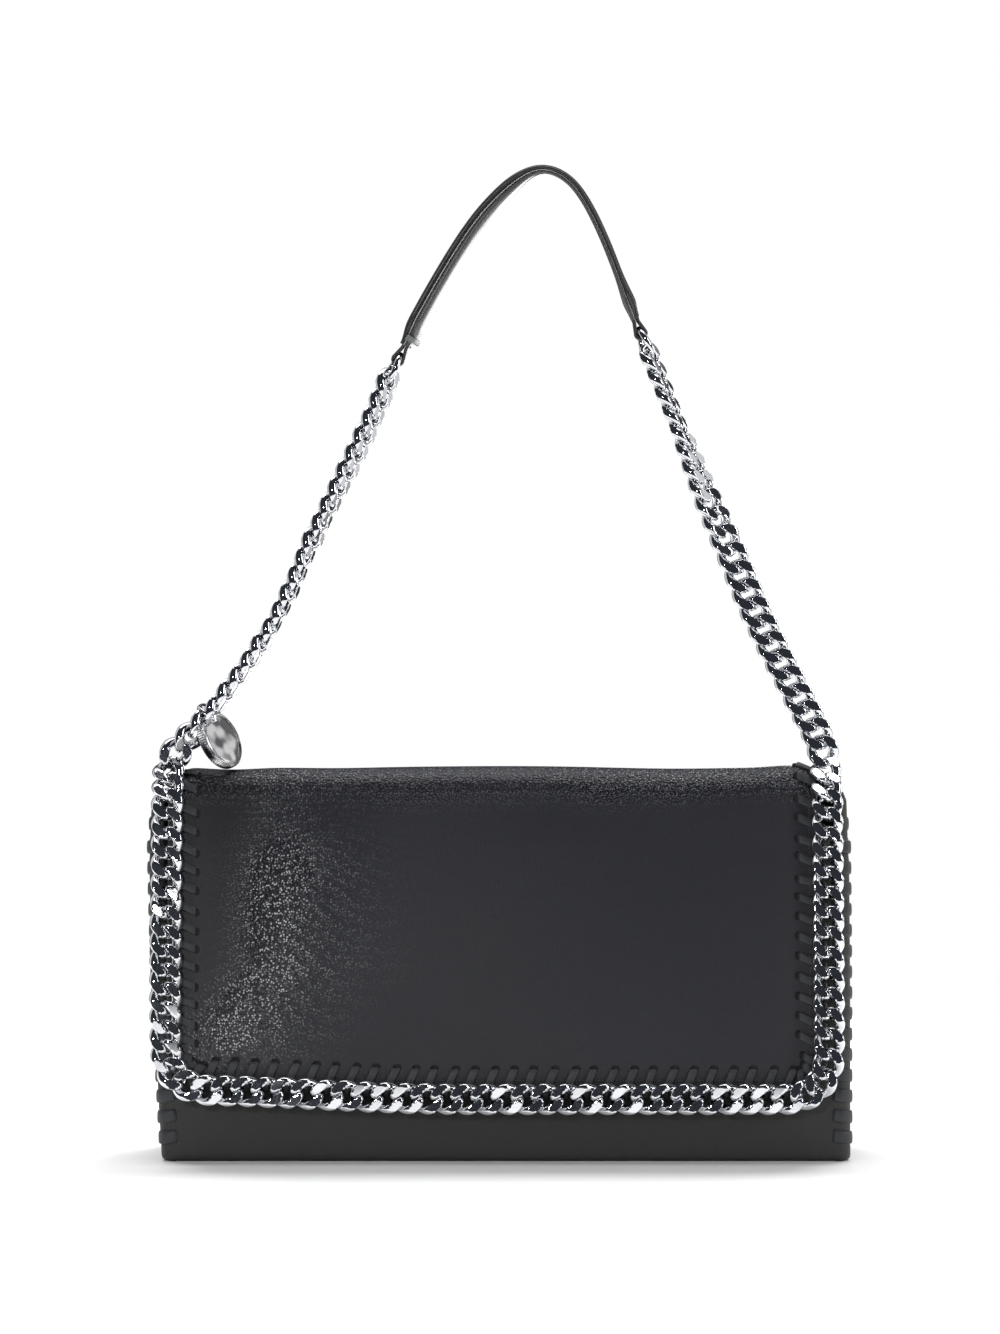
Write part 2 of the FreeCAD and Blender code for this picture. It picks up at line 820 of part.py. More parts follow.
def loop_piece(sign, deg):
    """A leather loop that closes round the last link's bow and runs up to the pad's end."""
    r_in = wire / 2 + loop_clearance
    r_out = r_in + loop_wall

    def stadium(radius, low, high, width):
        solid = box_between(vec(low, -width / 2, -radius), vec(high, width / 2, radius))
        for along in (low, high):
            end = Part.makeCylinder(radius, width, vec(along, -width / 2, 0), vec(0, 1, 0))
            solid = solid.fuse(end)
        return solid

    body = stadium(r_out, -loop_slack, loop_tab, loop_width)
    body = body.cut(stadium(r_in, -loop_slack, 0, 2 * loop_width))
    trim = box_between(vec(loop_tab, -loop_width, -2 * r_out), vec(loop_tab + 2 * r_out, loop_width, 2 * r_out))
    body = body.cut(trim)
    way = leg_way(sign, deg)
    spots = left_spots if sign < 0 else right_spots
    apex = spots[-1] + way * pad_apex_rise
    return placed(body.removeSplitter(), apex, way, vec(0, 1, 0), way.cross(vec(0, 1, 0)))


def build_pad():
    outer = pad_tube(pad_width, pad_thickness)
    core_width = pad_width - 2 * pad_wall
    core_thickness = pad_thickness - 2 * pad_wall
    core = pad_tube(core_width, core_thickness)
    nodes["shoulder_pad"] = outer.cut(core)
    nodes["pad_core"] = core
    for hand, sign, deg, spots, turn in (
        ("left", -1, pad_left_leg_deg, left_spots, left_face_deg),
        ("right", 1, pad_right_leg_deg, right_spots, right_face_high_deg),
    ):
        way = leg_way(sign, deg)
        link = make_link(link_twist, 90 - turn)
        nodes["pad_link_" + hand] = set_link(link, spots[-1] + way * (link_pitch / 2), way, front_way, turn)
        nodes["pad_loop_" + hand] = loop_piece(sign, deg)
    way = leg_way(-1, pad_left_leg_deg)
    low = left_spots[-1] + way * (pad_start + keeper_length)
    grow = 2 * lace_clearance
    band = Part.Face(pad_section(
        pad_width + grow + 2 * keeper_thickness, pad_thickness + grow + 2 * keeper_thickness, low, way
    ))
    gap = Part.Face(pad_section(pad_width + grow, pad_thickness + grow, low, way))
    nodes["pad_keeper"] = band.cut(gap).extrude(way * keeper_length)


# Charm on the left chain

def charm_frame():
    """The link wire that carries the charm, its direction, and the way down from it across the chain."""
    spots = left_spots
    along = spots[charm_link + 1] - spots[charm_link]
    along = along / along.Length
    middle = (spots[charm_link] + spots[charm_link + 1]) / 2
    bail_wire = middle + front_way * link_half_width
    return bail_wire, along, vec(along.z, 0, -along.x)


def build_charm():
    bail_wire, along, hang_way = charm_frame()
    hang = ring_radius - wire / 2 - ring_wire / 2 - ring_clearance
    ring_centre = bail_wire + hang_way * hang
    nodes["charm_ring"] = Part.makeTorus(ring_radius, ring_wire / 2, ring_centre, along)
    eye_seat = charm_eye_radius - (charm_eye_wire + ring_wire) / 2 - lace_clearance
    eye_centre = ring_centre + hang_way * ring_radius - vec(0, 0, eye_seat)
    turn = math.radians(charm_turn_deg)
    face = vec(math.sin(turn), -math.cos(turn), 0)
    centre = eye_centre - vec(0, 0, charm_diameter / 2 + charm_eye_radius - charm_eye_root)
    rim = Part.makeCylinder(charm_diameter / 2, charm_thickness, centre - face * (charm_thickness / 2), face)
    rim_edges = [e for e in rim.Edges if e.Curve.TypeId == "Part::GeomCircle"]
    disc = rim.makeFillet(charm_thickness / 6, rim_edges)
    eye = Part.makeTorus(charm_eye_radius, charm_eye_wire / 2, eye_centre, front_way)
    nodes["charm_disc"] = disc.fuse(eye).Solids[0]


# Pockets and the zip on the back of the lining

pocket_seat = -leather - lining_thickness - 2 * seam_gap


def back_plate(width, low, high, near, far):
    """A flat panel on the bag's inner back, between two distances in from its seat on the lining."""
    top_angle = back.angle(high, pocket_seat - near)
    return back.sheet(pocket_seat - far, pocket_seat - near, low, top_angle, width / 2)


def build_pockets():
    tape_low = zip_height - zip_tape_width
    tape_near = pocket_thickness + seam_gap
    tape_far = tape_near + zip_tape_thickness
    tape_high = zip_height + zip_tape_width
    nodes["zip_pocket"] = back_plate(pocket_width, pocket_bottom_height, tape_high, 0, pocket_thickness)
    half_gap = zip_teeth_gap / 2 + zip_tooth_width + slider_clearance
    tapes = [
        back_plate(zip_length, tape_low, zip_height - half_gap, tape_near, tape_far),
        back_plate(zip_length, zip_height + half_gap, tape_high, tape_near, tape_far),
    ]
    nodes["zip_tapes"] = Part.Compound(tapes)
    angle = back.angle(zip_height, pocket_seat - tape_far)
    origin = back.point(angle, pocket_seat - pocket_thickness - zip_seat)
    inward = back.normal(angle) * -1
    upward = back.upward(angle)
    sideways = vec(1, 0, 0)

    def set_on_zip(shape, x=0.0):
        return placed(shape, origin + sideways * x, sideways, upward, inward)

    tooth = box_between(
        vec(-zip_tooth_length / 2, zip_teeth_gap / 2, 0),
        vec(zip_tooth_length / 2, zip_teeth_gap / 2 + zip_tooth_width, zip_tooth_height),
    )
    under = tooth.mirror(vec(0, 0, 0), vec(0, 1, 0))
    count = int((zip_length - zip_tooth_pitch) / zip_tooth_pitch)
    first = -count * zip_tooth_pitch / 2
    rows = {"zip_teeth_upper": [], "zip_teeth_lower": []}
    for k in range(count + 1):
        rows["zip_teeth_upper"].append(set_on_zip(tooth, first + k * zip_tooth_pitch))
    for k in range(count):
        rows["zip_teeth_lower"].append(set_on_zip(under, first + (k + 0.5) * zip_tooth_pitch))
    for name, teeth in rows.items():
        nodes[name] = Part.Compound(teeth)
    stop_half = zip_teeth_gap / 2 + zip_tooth_width
    stop_length = zip_tooth_pitch
    stop_height = zip_tooth_height + slider_clearance + slider_wall
    stop = box_between(vec(0, -stop_half, 0), vec(stop_length, stop_half, stop_height))
    end = zip_length / 2
    stops = [set_on_zip(stop, end), set_on_zip(stop, -end - stop_length)]
    nodes["zip_stops"] = Part.Compound(stops)
    low = zip_tooth_height + slider_clearance
    plate = box_between(
        vec(-slider_length / 2, -slider_width / 2, low), vec(slider_length / 2, slider_width / 2, low + slider_wall)
    )
    ear_half = pull_width / 2
    pin_rise = low + slider_wall + pull_pin
    for side in (-1, 1):
        y = sorted((side * (ear_half + slider_clearance), side * (ear_half + slider_clearance + slider_wall)))
        ear = box_between(
            vec(-pull_pin, y[0], low + slider_wall), vec(pull_pin, y[1], pin_rise + pull_pin)
        )
        plate = plate.fuse(ear)
        skirt_y = sorted((side * slider_width / 2, side * (slider_width / 2 - slider_wall)))
        skirt = box_between(
            vec(-slider_length / 2, skirt_y[0], seam_gap + zip_tape_thickness + slider_clearance),
            vec(slider_length / 2, skirt_y[1], low),
        )
        plate = plate.fuse(skirt)
    pin_reach = ear_half + slider_clearance + slider_wall
    pin = Part.makeCylinder(pull_pin / 2, 2 * pin_reach, vec(0, -pin_reach, pin_rise), vec(0, 1, 0))
    slider_x = -zip_length / 2 + slider_length / 2 + slider_clearance
    nodes["zip_slider"] = set_on_zip(plate.fuse(pin).Solids[0], slider_x)
    eye = pull_pin / 2 + slider_clearance / 3
    pull = box_between(
        vec(0, -ear_half, pin_rise - pull_thickness), vec(pull_length, ear_half, pin_rise + pull_thickness)
    )
    pull = pull.fuse(Part.makeCylinder(
        pull_thickness, 2 * ear_half, vec(0, -ear_half, pin_rise), vec(0, 1, 0)
    ))
    pull = pull.cut(Part.makeCylinder(eye, 4 * ear_half, vec(0, -2 * ear_half, pin_rise), vec(0, 1, 0)))
    nodes["zip_pull"] = set_on_zip(pull.Solids[0], slider_x)
    nodes["slip_pocket"] = front.sheet(
        pocket_seat - slip_thickness,
        pocket_seat,
        slip_bottom_height,
        front.angle(slip_top_height, pocket_seat),
        slip_width / 2,
    )
    return origin, sideways, upward, inward, slider_x, pin_rise


build_body()
build_lining()
build_flap()
build_fold()
build_flap_chain()
build_snap()
build_strap()
build_pad()
build_charm()
zip_frame = build_pockets()

whole = Part.Compound([nodes["flap_chain_bottom"], nodes["side_lacing_back_left"], nodes["back_panel"]])
reach = whole.optimalBoundingBox()
shift = vec(0, -(reach.YMin + reach.YMax) / 2, 0)
for name, shape in nodes.items():
    moved = shape.copy()
    moved.translate(shift)
    moved.exportStep("parts/" + name + ".step")

print("nodes", len(nodes), "shift", round(shift.y, 3))
print("flap and strap hinge", hinge_y + shift.y, hinge_z)
print("fold centre", fold_centre.y + shift.y, fold_centre.z, "flap links", flap_links, round(flap_pitch, 3))
print("pad hinge", left_spots[-1] + shift, right_spots[-1] + shift)
charm_wire, charm_along, charm_hang = charm_frame()
print("charm hinge", charm_wire + shift, charm_along)
zip_origin, zip_x, zip_up, zip_in, slider_x, pin_rise = zip_frame
print("zip pull hinge", zip_origin + zip_in * pin_rise + zip_x * slider_x + shift, zip_up)
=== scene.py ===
import math

import bpy
import numpy as np
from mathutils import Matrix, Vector


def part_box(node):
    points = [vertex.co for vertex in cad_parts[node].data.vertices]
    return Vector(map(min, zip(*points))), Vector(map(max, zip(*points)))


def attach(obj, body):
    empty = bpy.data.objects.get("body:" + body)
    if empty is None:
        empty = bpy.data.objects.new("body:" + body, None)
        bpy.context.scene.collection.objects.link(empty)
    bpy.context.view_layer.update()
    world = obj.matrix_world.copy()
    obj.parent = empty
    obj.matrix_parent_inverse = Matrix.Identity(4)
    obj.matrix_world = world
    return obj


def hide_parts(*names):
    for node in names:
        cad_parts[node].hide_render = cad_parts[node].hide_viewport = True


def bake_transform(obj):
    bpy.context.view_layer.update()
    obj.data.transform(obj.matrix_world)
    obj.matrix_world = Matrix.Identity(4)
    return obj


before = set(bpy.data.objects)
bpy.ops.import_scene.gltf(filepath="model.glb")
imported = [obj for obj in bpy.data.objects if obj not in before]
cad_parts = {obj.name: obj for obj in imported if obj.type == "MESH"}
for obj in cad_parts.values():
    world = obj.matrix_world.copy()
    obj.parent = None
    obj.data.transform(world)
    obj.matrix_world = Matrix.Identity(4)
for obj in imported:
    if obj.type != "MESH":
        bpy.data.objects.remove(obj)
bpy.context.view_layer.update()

# Sizes of the bag in millimetres, as in the frame
MM = 0.001
base_low, base_high = (np.array(c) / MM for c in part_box("base_panel"))
shift_y = (base_low[1] + base_high[1]) / 2
half_width = base_high[0]
base_depth = base_high[1] - base_low[1]
front_height, front_lean, front_bulge = 124.0, 16.5, 4.0
back_lean_deg = 9.0
leather = 1.4
flap_gap, flap_lining = 1.8, 0.8
leather_back = flap_gap + flap_lining
leather_face = leather_back + leather
chain_plane = leather_face + 3.6
flap_top_height, fold_radius = 137.0, 10.6
fold_half_width, leather_half_width = 113.2, 121.5
chain_half_span, chain_bottom, chain_corner = 123.5, 25.0, 14.0
link_half_length, link_half_width, link_pitch, wire = 5.1, 4.4, 7.4, 2.2
link_twist = 45.0
corner_rise, corner_forward = 14.5, 4.0
strap_links = 22
to_front = np.array([0.0, -1.0, 0.0])
chance = np.random.default_rng(7)


def unit(v):
    """Vectors cut to length 1."""
    v = np.asarray(v, float)
    return v / np.linalg.norm(v, axis=-1, keepdims=True)


def smooth(t):
    """A soft step from 0 to 1 as t goes from 0 to 1."""
    t = np.clip(t, 0, 1)
    return t * t * (3 - 2 * t)


def bump(x, middle, width):
    """1 at the middle, falling off softly to both sides."""
    return np.exp(-((x - middle) / width) ** 2)


def shares(count):
    """Shares of the way from 0 up to 1, without 1."""
    return np.linspace(0, 1, count, endpoint=False)


def round_turn(count):
    """Angles spaced evenly round a full turn."""
    return np.linspace(0, 2 * math.pi, count, endpoint=False)


def soft_square(count, roundness):
    """Points round a square from -1 to 1 with soft corners."""
    t = round_turn(count)
    return [np.sign(w) * np.abs(w) ** roundness for w in (np.cos(t), np.sin(t))]


def smooth_path(points, steps):
    """Points along a smooth curve through the given ones."""
    points = np.asarray(points, float)
    padded = np.vstack([2 * points[0] - points[1], points, 2 * points[-1] - points[-2]])
    out = []
    for k in range(len(points) - 1):
        p0, p1, p2, p3 = padded[k:k + 4]
        t = shares(steps)[:, None]
        out.append(0.5 * (2 * p1 + (p2 - p0) * t + (2 * p0 - 5 * p1 + 4 * p2 - p3) * t ** 2
                          + (3 * p1 - p0 - 3 * p2 + p3) * t ** 3))
    return np.vstack(out + [points[-1:]])


def even_spots(line, count):
    """Points spaced evenly along a line, and how far along it each one lies."""
    lengths = np.concatenate([[0], np.cumsum(np.linalg.norm(np.diff(line, axis=0), axis=1))])
    at = np.linspace(0, lengths[-1], count)
    return np.stack([np.interp(at, lengths, line[:, k]) for k in range(3)], -1), at


# Meshes

class Stock:
    """Points and faces gathered for one piece."""

    def __init__(self):
        self.points = []
        self.faces = []
        self.count = 0

    def add(self, points, faces):
        points = np.asarray(points, float).reshape(-1, 3)
        self.points.append(points)
        self.faces += [[i + self.count for i in face] for face in faces]
        self.count += len(points)

    def piece(self, name, paint, body=None, stands_for=(), slot=None, sharp=None):
        mesh = bpy.data.meshes.new(name)
        mesh.from_pydata((np.vstack(self.points) * MM).tolist(), [], self.faces)
        mesh.materials.append(paint)
        mesh.shade_smooth()
        if sharp:
            mesh.set_sharp_from_angle(angle=math.radians(sharp))
        thing = bpy.data.objects.new(name, mesh)
        bpy.context.scene.collection.objects.link(thing)
        if body:
            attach(thing, body)
        if stands_for:
            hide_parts(*stands_for)
        return thing


def weave(rows, cols, close_rows=False, close_cols=False, flip=False):
    """Quads of a grid of points, row after row."""
    faces = []
    for r in range(rows if close_rows else rows - 1):
        for c in range(cols if close_cols else cols - 1):
            below, beside = (r + 1) % rows, (c + 1) % cols
            a, b, d, e = r * cols + c, r * cols + beside, below * cols + c, below * cols + beside
            faces.append([a, d, e, b] if flip else [a, b, e, d])
    return faces


def add_skins(stock, outer, inner, rim, tub=False):
    """An outer and an inner grid of points, joined along a rim; a tub has a floor in each."""
    rows, cols = outer.shape[:2]
    n = rows * cols
    faces = weave(rows, cols, close_cols=tub)
    faces += [[i + n for i in f] for f in weave(rows, cols, close_cols=tub, flip=True)]
    faces += [[b, a, a + n, b + n] for a, b in zip(rim, rim[1:] + rim[:1])]
    if tub:
        faces += [list(range(cols - 1, -1, -1)), list(range(n, n + cols))]
    stock.add(np.concatenate([outer.reshape(-1, 3), inner.reshape(-1, 3)]), faces)


def add_sheet(stock, outer, inner):
    """A sheet with thickness, closed along its four edges."""
    rows, cols = outer.shape[:2]
    ids = np.arange(rows * cols).reshape(rows, cols)
    rim = np.concatenate([ids[0], ids[1:, -1], ids[-1, -2::-1], ids[-2:0:-1, 0]])
    add_skins(stock, outer, inner, rim.tolist())


def add_tub(stock, outer, inner):
    """A tub with thickness, open at its top row."""
    rows, cols = outer.shape[:2]
    add_skins(stock, outer, inner, list(range(rows * cols - 1, (rows - 1) * cols - 1, -1)), tub=True)


def add_strip(stock, middle, across, out, width, thickness, roundness=0.45, closed=False, segments=16):
    """A strip that follows middle; its section is a soft rectangle."""
    n = len(middle)
    a, b = (w[None, :, None] / 2 for w in soft_square(segments, roundness))
    width = np.broadcast_to(width, n)[:, None, None]
    thickness = np.broadcast_to(thickness, n)[:, None, None]
    points = middle[:, None] + across[:, None] * a * width + out[:, None] * b * thickness
    faces = weave(n, segments, close_rows=closed, close_cols=True)
    if not closed:
        faces += [list(range(segments - 1, -1, -1)), [(n - 1) * segments + k for k in range(segments)]]
    stock.add(points, faces)


def add_ring(stock, centre, axis, radius, wire_radius, around=48, section=14):
    """A round ring of round wire."""
    axis = unit(axis)
    side = unit(np.cross(axis, [0.31, 0.57, 0.76]))
    other = np.cross(axis, side)
    t = round_turn(around)[:, None, None]
    p = round_turn(section)[None, :, None]
    way = np.cos(t) * side + np.sin(t) * other
    points = centre + way * (radius + wire_radius * np.cos(p)) + axis * wire_radius * np.sin(p)
    stock.add(points, weave(around, section, True, True))


# Materials

class Tint:
    """A value in a material's nodes that is added and multiplied like a number."""

    def __init__(self, tree, socket=None):
        self.tree = tree
        self.socket = socket

    def node(self, kind, settings=None, sockets=None, out=0):
        made = self.tree.nodes.new(kind)
        for key, value in (settings or {}).items():
            setattr(made, key, value)
        for key, value in (sockets or {}).items():
            if isinstance(value, Tint):
                self.tree.links.new(value.socket, made.inputs[key])
            else:
                made.inputs[key].default_value = value
        return Tint(self.tree, made.outputs[out])

    def maths(self, operation, a, b):
        return self.node("ShaderNodeMath", {"operation": operation}, {0: a, 1: b})

    def __add__(self, other):
        return self.maths("ADD", self, other)

    __radd__ = __add__

    def __sub__(self, other):
        return self.maths("SUBTRACT", self, other)

    def __rsub__(self, other):
        return self.maths("SUBTRACT", other, self)

    def __mul__(self, other):
        return self.maths("MULTIPLY", self, other)

    __rmul__ = __mul__

    def __truediv__(self, other):
        return self.maths("DIVIDE", self, other)

    def __rpow__(self, other):
        return self.maths("POWER", other, self)

    def clamp(self):
        return self.node("ShaderNodeClamp", None, {"Value": self})

    def between(self, low, high):
        """A colour from low to high as this value goes from 0 to 1."""
        return self.node("ShaderNodeMix", {"data_type": "RGBA"}, {"Factor": self, 6: low, 7: high}, 2)


def new_paint(name, colour, roughness, metallic=0.0, **sockets):
    """A material with one main shader, and that shader."""
    paint = bpy.data.materials.new(name)
    paint.use_nodes = True
    shader = paint.node_tree.nodes["Principled BSDF"]
    shader.inputs["Base Color"].default_value = (*colour, 1)
    shader.inputs["Roughness"].default_value = roughness
    shader.inputs["Metallic"].default_value = metallic
    for key, value in sockets.items():
        shader.inputs[key.replace("_", " ")].default_value = value
    return paint, shader


def place_on(paint):
    """The place on a piece, in metres, where its patterns start."""
    return Tint(paint.node_tree).node("ShaderNodeTexCoord", out=3)


def feed(shader, name, tint):
    tint.tree.links.new(tint.socket, shader.inputs[name])


def press(shader, height, strength, depth):
    """Raises the surface by a height pattern, depth in metres."""
    feed(shader, "Normal", height.node(
        "ShaderNodeBump", None, {"Height": height, "Strength": strength, "Distance": depth}))


def noise(place, scale, detail):
    return place.node("ShaderNodeTexNoise", None, {"Vector": place, "Scale": scale, "Detail": detail})


def pebbles(place, scale, out=0):
    """Cells of the grain: the way from a cell's middle, or with out=1 a chance value."""
    cells = {"Vector": place, "Scale": scale, "Randomness": 0.85}
    return place.node("ShaderNodeTexVoronoi", None, cells, out)


def fall_off(t):
    """1 where t is 0, falling off softly to both sides."""
    return 2.718 ** (0 - t * t)


def rise(t, reach):
    """0 up to where t is 0, then up to 1 where it is reach."""
    return (t / reach).clamp()


def slack_fold(x, z, wander):
    """How slack the flap is: a band down its left with a fainter skirt, where the grain opens and the
    painted glints sit.
    """
    low = rise(0.075 - z, 0.05)
    band_left, low_shift, wander_width = 0.082, 0.03, 0.018
    side = x + band_left + low * low_shift + wander * wander_width
    band_width, low_width = 0.011, 0.009
    core = fall_off(side / (band_width + low * low_width))
    skirt_shift, skirt_width, skirt_weight = 0.014, 0.022, 0.3
    skirt = fall_off((side - skirt_shift) / skirt_width)
    foot = rise(z - 0.028, 0.02)
    head = rise(z - 0.108, 0.016)
    return (core + skirt * skirt_weight) * foot * (1 - low * 0.4) * (1 - head * 0.75)


def roll_grain(x, z, wander):
    """How open the grain is over the roll, more so to the right; it also weights the painted glints there.
    """
    roll_low, roll_soft, wander_height = 0.131, 0.012, 0.03
    right = rise(x - 0.015, 0.04)
    return rise(z - roll_low + wander * wander_height, roll_soft) * (0.5 + right * 0.5)


def bag_leather_paint():
    """Pebbled leather, smooth where it is flat, with open grain on the slack fold and the roll; pale painted
    glints on that grain stand in for highlights, and painted shade darkens a band on the left.
    """
    paint, shader = new_paint("bag_leather", (0.022, 0.023, 0.027), 0.4, Specular_IOR_Level=0.5)
    place = Tint(paint.node_tree).node("ShaderNodeAttribute", {"attribute_name": "cut_place"}, out=1)
    x = place.node("ShaderNodeSeparateXYZ", None, {0: place}, 0)
    z = place.node("ShaderNodeSeparateXYZ", None, {0: place}, 2)
    patches = noise(place, 16, 3)
    wander = patches - 0.5
    slack, over = slack_fold(x, z, wander), roll_grain(x, z, wander)
    open_grain = ((slack + over) * 1.4).clamp()
    pebble_scale, pore_scale = 1100, 2600
    far = pebbles(place, pebble_scale)
    pores = noise(place, pore_scale, 2) * 0.1
    press(shader, pores - far * far * (0.15 + open_grain * 0.85), 1.0, 0.0003)
    feed(shader, "Roughness", 0.52 - open_grain * 0.32 + wander * 0.08)
    # Painted glints: pale base colour on the tips of the grain cells, standing in for lamp highlights.
    painted_glints = rise(0.5 - far, 0.34)
    glint_strength = ((pebbles(place, pebble_scale, 1) - 0.1) * 1.6).clamp()
    painted_glints = painted_glints * painted_glints * glint_strength * (slack * 1.3 + over * 0.45)
    # Painted shade: the base colour darkens in a band left of the ridge.
    shade = fall_off((x + 0.102) / 0.013) * rise(z - 0.06, 0.03)
    dark = patches.between((0.0088, 0.0092, 0.0133, 1), (0.0138, 0.0142, 0.02, 1))
    dark = (shade * 0.75).clamp().between(dark, (0.003, 0.003, 0.004, 1))
    feed(shader, "Base Color", painted_glints.clamp().between(dark, (0.6, 0.6, 0.61, 1)))
    return paint


def body_leather_paint():
    """The body's finer, more even grain."""
    paint, shader = new_paint("body_leather", (0.026, 0.027, 0.027), 0.42, Specular_IOR_Level=0.5)
    place = place_on(paint)
    patches = noise(place, 18, 3)
    far = pebbles(place, 1000)
    press(shader, noise(place, 2600, 3) * 0.2 - far * far, 0.35, 0.0003)
    feed(shader, "Roughness", 0.46 + patches * 0.15)
    feed(shader, "Base Color", patches.between((0.0155, 0.0157, 0.0145, 1), (0.0245, 0.0247, 0.0225, 1)))
    return paint


def lacing_paint():
    """Leather of the lacing strips, a little lighter in places."""
    paint, shader = new_paint("lacing_leather", (0.03, 0.031, 0.035), 0.48, Specular_IOR_Level=0.45)
    place = place_on(paint)
    press(shader, noise(place, 1500, 3), 0.25, 0.0002)
    patches = noise(place, 60, 2)
    feed(shader, "Base Color", patches.between((0.024, 0.025, 0.029, 1), (0.038, 0.039, 0.044, 1)))
    return paint


def chain_paint():
    """Polished metal of the links."""
    paint, shader = new_paint("chain_metal", (0.72, 0.73, 0.75), 0.07, 1.0)
    feed(shader, "Roughness", 0.04 + noise(place_on(paint), 400, 2) * 0.07)
    return paint


def charm_paint():
    """Silver with soft dark blotches painted into its colour, standing in for dark reflections."""
    paint, shader = new_paint("charm_silver", (0.6, 0.6, 0.6), 0.25, 1.0)
    # Painted reflections: dark blotches in the base colour of the metal.
    painted_reflections = ((noise(place_on(paint), 140, 1) - 0.42) * 6).clamp()
    feed(shader, "Base Color", painted_reflections.between((0.12, 0.12, 0.125, 1), (0.72, 0.72, 0.73, 1)))
    return paint


def pad_paint(name, colour, roughness):
    """Smooth leather of the shoulder pad, a little more polished in places."""
    paint, shader = new_paint(name, colour, roughness, Specular_IOR_Level=0.5)
    feed(shader, "Roughness", roughness - 0.06 + noise(place_on(paint), 40, 2) * 0.12)
    return paint


def cloth_paint(name, colour):
    """Twill cloth."""
    paint, shader = new_paint(name, colour, 0.85, Sheen_Weight=0.3)
    place = place_on(paint)
    twill = place.node("ShaderNodeTexWave", {"bands_direction": "DIAGONAL"}, {
        "Vector": place, "Scale": 420.0, "Distortion": 0.6, "Detail": 1.0})
    press(shader, twill, 0.35, 0.0003)
    return paint


def plain_paint(name, colour, roughness, metallic=0.0):
    return new_paint(name, colour, roughness, metallic)[0]


bag_leather = bag_leather_paint()
body_leather = body_leather_paint()
lacing_leather = lacing_paint()
chain_metal = chain_paint()
charm_silver = charm_paint()
pad_leather = pad_paint("pad_leather", (0.04, 0.04, 0.042), 0.3)
# The underside's leather is lighter than the top layer's: a painted reflection of the pale floor.
pad_underside_painted_light = pad_paint("pad_underside_painted_light", (0.1, 0.1, 0.1), 0.26)
lining_cloth = cloth_paint("lining_cloth", (0.03, 0.028, 0.03))
tape_cloth = cloth_paint("zip_tape", (0.015, 0.015, 0.016))
fittings_metal = plain_paint("fittings", (0.6, 0.6, 0.62), 0.22, 1.0)
# Near black, painted shade for the holes where the strips go in.
painted_hole_shade = plain_paint("lace_hole", (0.003, 0.003, 0.004), 0.8)
thread_dark = plain_paint("edge_thread", (0.05, 0.05, 0.055), 0.5)
pad_edge_light = plain_paint("pad_edge", (0.6, 0.6, 0.6), 0.4)
keeper_light = plain_paint("pad_keeper", (0.2, 0.21, 0.21), 0.4)
board_plain = plain_paint("base_board", (0.05, 0.05, 0.05), 0.6)


# The bowed front and back of the bag

class Wall:
    """A wall bowed on one circle. side is -1 for the front and 1 for the back; offsets are outwards."""

    def __init__(self, centre, radius, side):
        self.centre = centre
        self.radius = radius
        self.side = side

    def angle(self, z, offset):
        return np.arcsin((np.asarray(z, float) - self.centre[1]) / (self.radius + offset))

    def y(self, z, offset):
        return self.centre[0] + self.side * (self.radius + offset) * np.cos(self.angle(z, offset))

    def at(self, angle, offset):
        """Y and Z of a place on the wall, then those of its outward normal."""
        ny, nz = self.side * np.cos(angle), np.sin(angle)
        reach = self.radius + offset
        return self.centre[0] + reach * ny, self.centre[1] + reach * nz, ny, nz


def front_wall():
    foot = np.array([shift_y - base_depth / 2, 0])
    chord = np.array([front_lean, front_height])
    length = np.linalg.norm(chord)
    radius = length ** 2 / (8 * front_bulge) + front_bulge / 2
    outward = np.array([-chord[1], chord[0]]) / length
    return Wall(foot + chord / 2 + outward * (front_bulge - radius), radius, -1)


front = front_wall()
flap_top_angle = float(front.angle(flap_top_height, leather_back))
fold_centre = np.array(front.at(flap_top_angle, leather_back - fold_radius)[:2])


def back_wall():
    lean = math.radians(back_lean_deg)
    normal = np.array([math.cos(lean), math.sin(lean)])
    top = fold_centre + normal * (fold_radius + leather)
    span = top - np.array([shift_y + base_depth / 2, 0])
    radius = span @ span / (2 * span @ normal)
    return Wall(top - normal * radius, radius, 1)


back = back_wall()
hinge = np.array([fold_centre[0] - corner_forward, fold_centre[1] + corner_rise])


# How the soft bag has settled

def moved(points, axis, by):
    """Points moved along one axis."""
    out = points.copy()
    out[..., axis] += by
    return out


def lean_in(points):
    """The left side leans in towards its foot and the right side stands out a little."""
    x, z = points[..., 0], points[..., 2]
    left_lean, right_stand = 5.5, 1.3
    foot = np.clip(1 - z / 125, 0, 1) ** 1.3
    return moved(points, 0, left_lean * foot * smooth((-x - 40) / 90) + right_stand * smooth((x - 90) / 40))


def hang(points):
    """The flap's lower edge hangs a little higher at its left corner."""
    x, z = points[..., 0], points[..., 2]
    left_lift, drop = 3.4, 0.8
    low = 1 - smooth((z - 25) / 75)
    return moved(points, 2, low * (left_lift * (1 - smooth((x + 118) / 105)) - drop))


# Body of the bag: level lines of points, one above the other

long_count, turn_count, short_count = 70, 10, 22


def body_ring(z, panel_inset, side_inset, r):
    """One level line round the bag at heights z, from the left front on; r is the corners' radius."""
    w = half_width - side_inset
    t, s, q = shares(long_count), shares(short_count), shares(turn_count) * math.pi / 2
    x = np.concatenate([(w - r) * (2 * t - 1), w - r + r * np.sin(q), w + 0 * s, w - r + r * np.cos(q)])
    over = np.concatenate([0 * t, 0 * q, s, 1 + 0 * q])
    turn = np.concatenate([0 * t, 1 - np.cos(q), 1 - 2 * s, np.sin(q) - 1])
    halves = []
    for sign, level, near, far in ((1, z[:len(x)], front, back), (-1, z[len(x):], back, front)):
        near_y, far_y = near.y(level, -panel_inset), far.y(level, -panel_inset)
        y = near_y + (far_y - near_y) * over + sign * r * turn
        halves.append(np.stack([sign * x, y, level], -1))
    return np.vstack(halves)


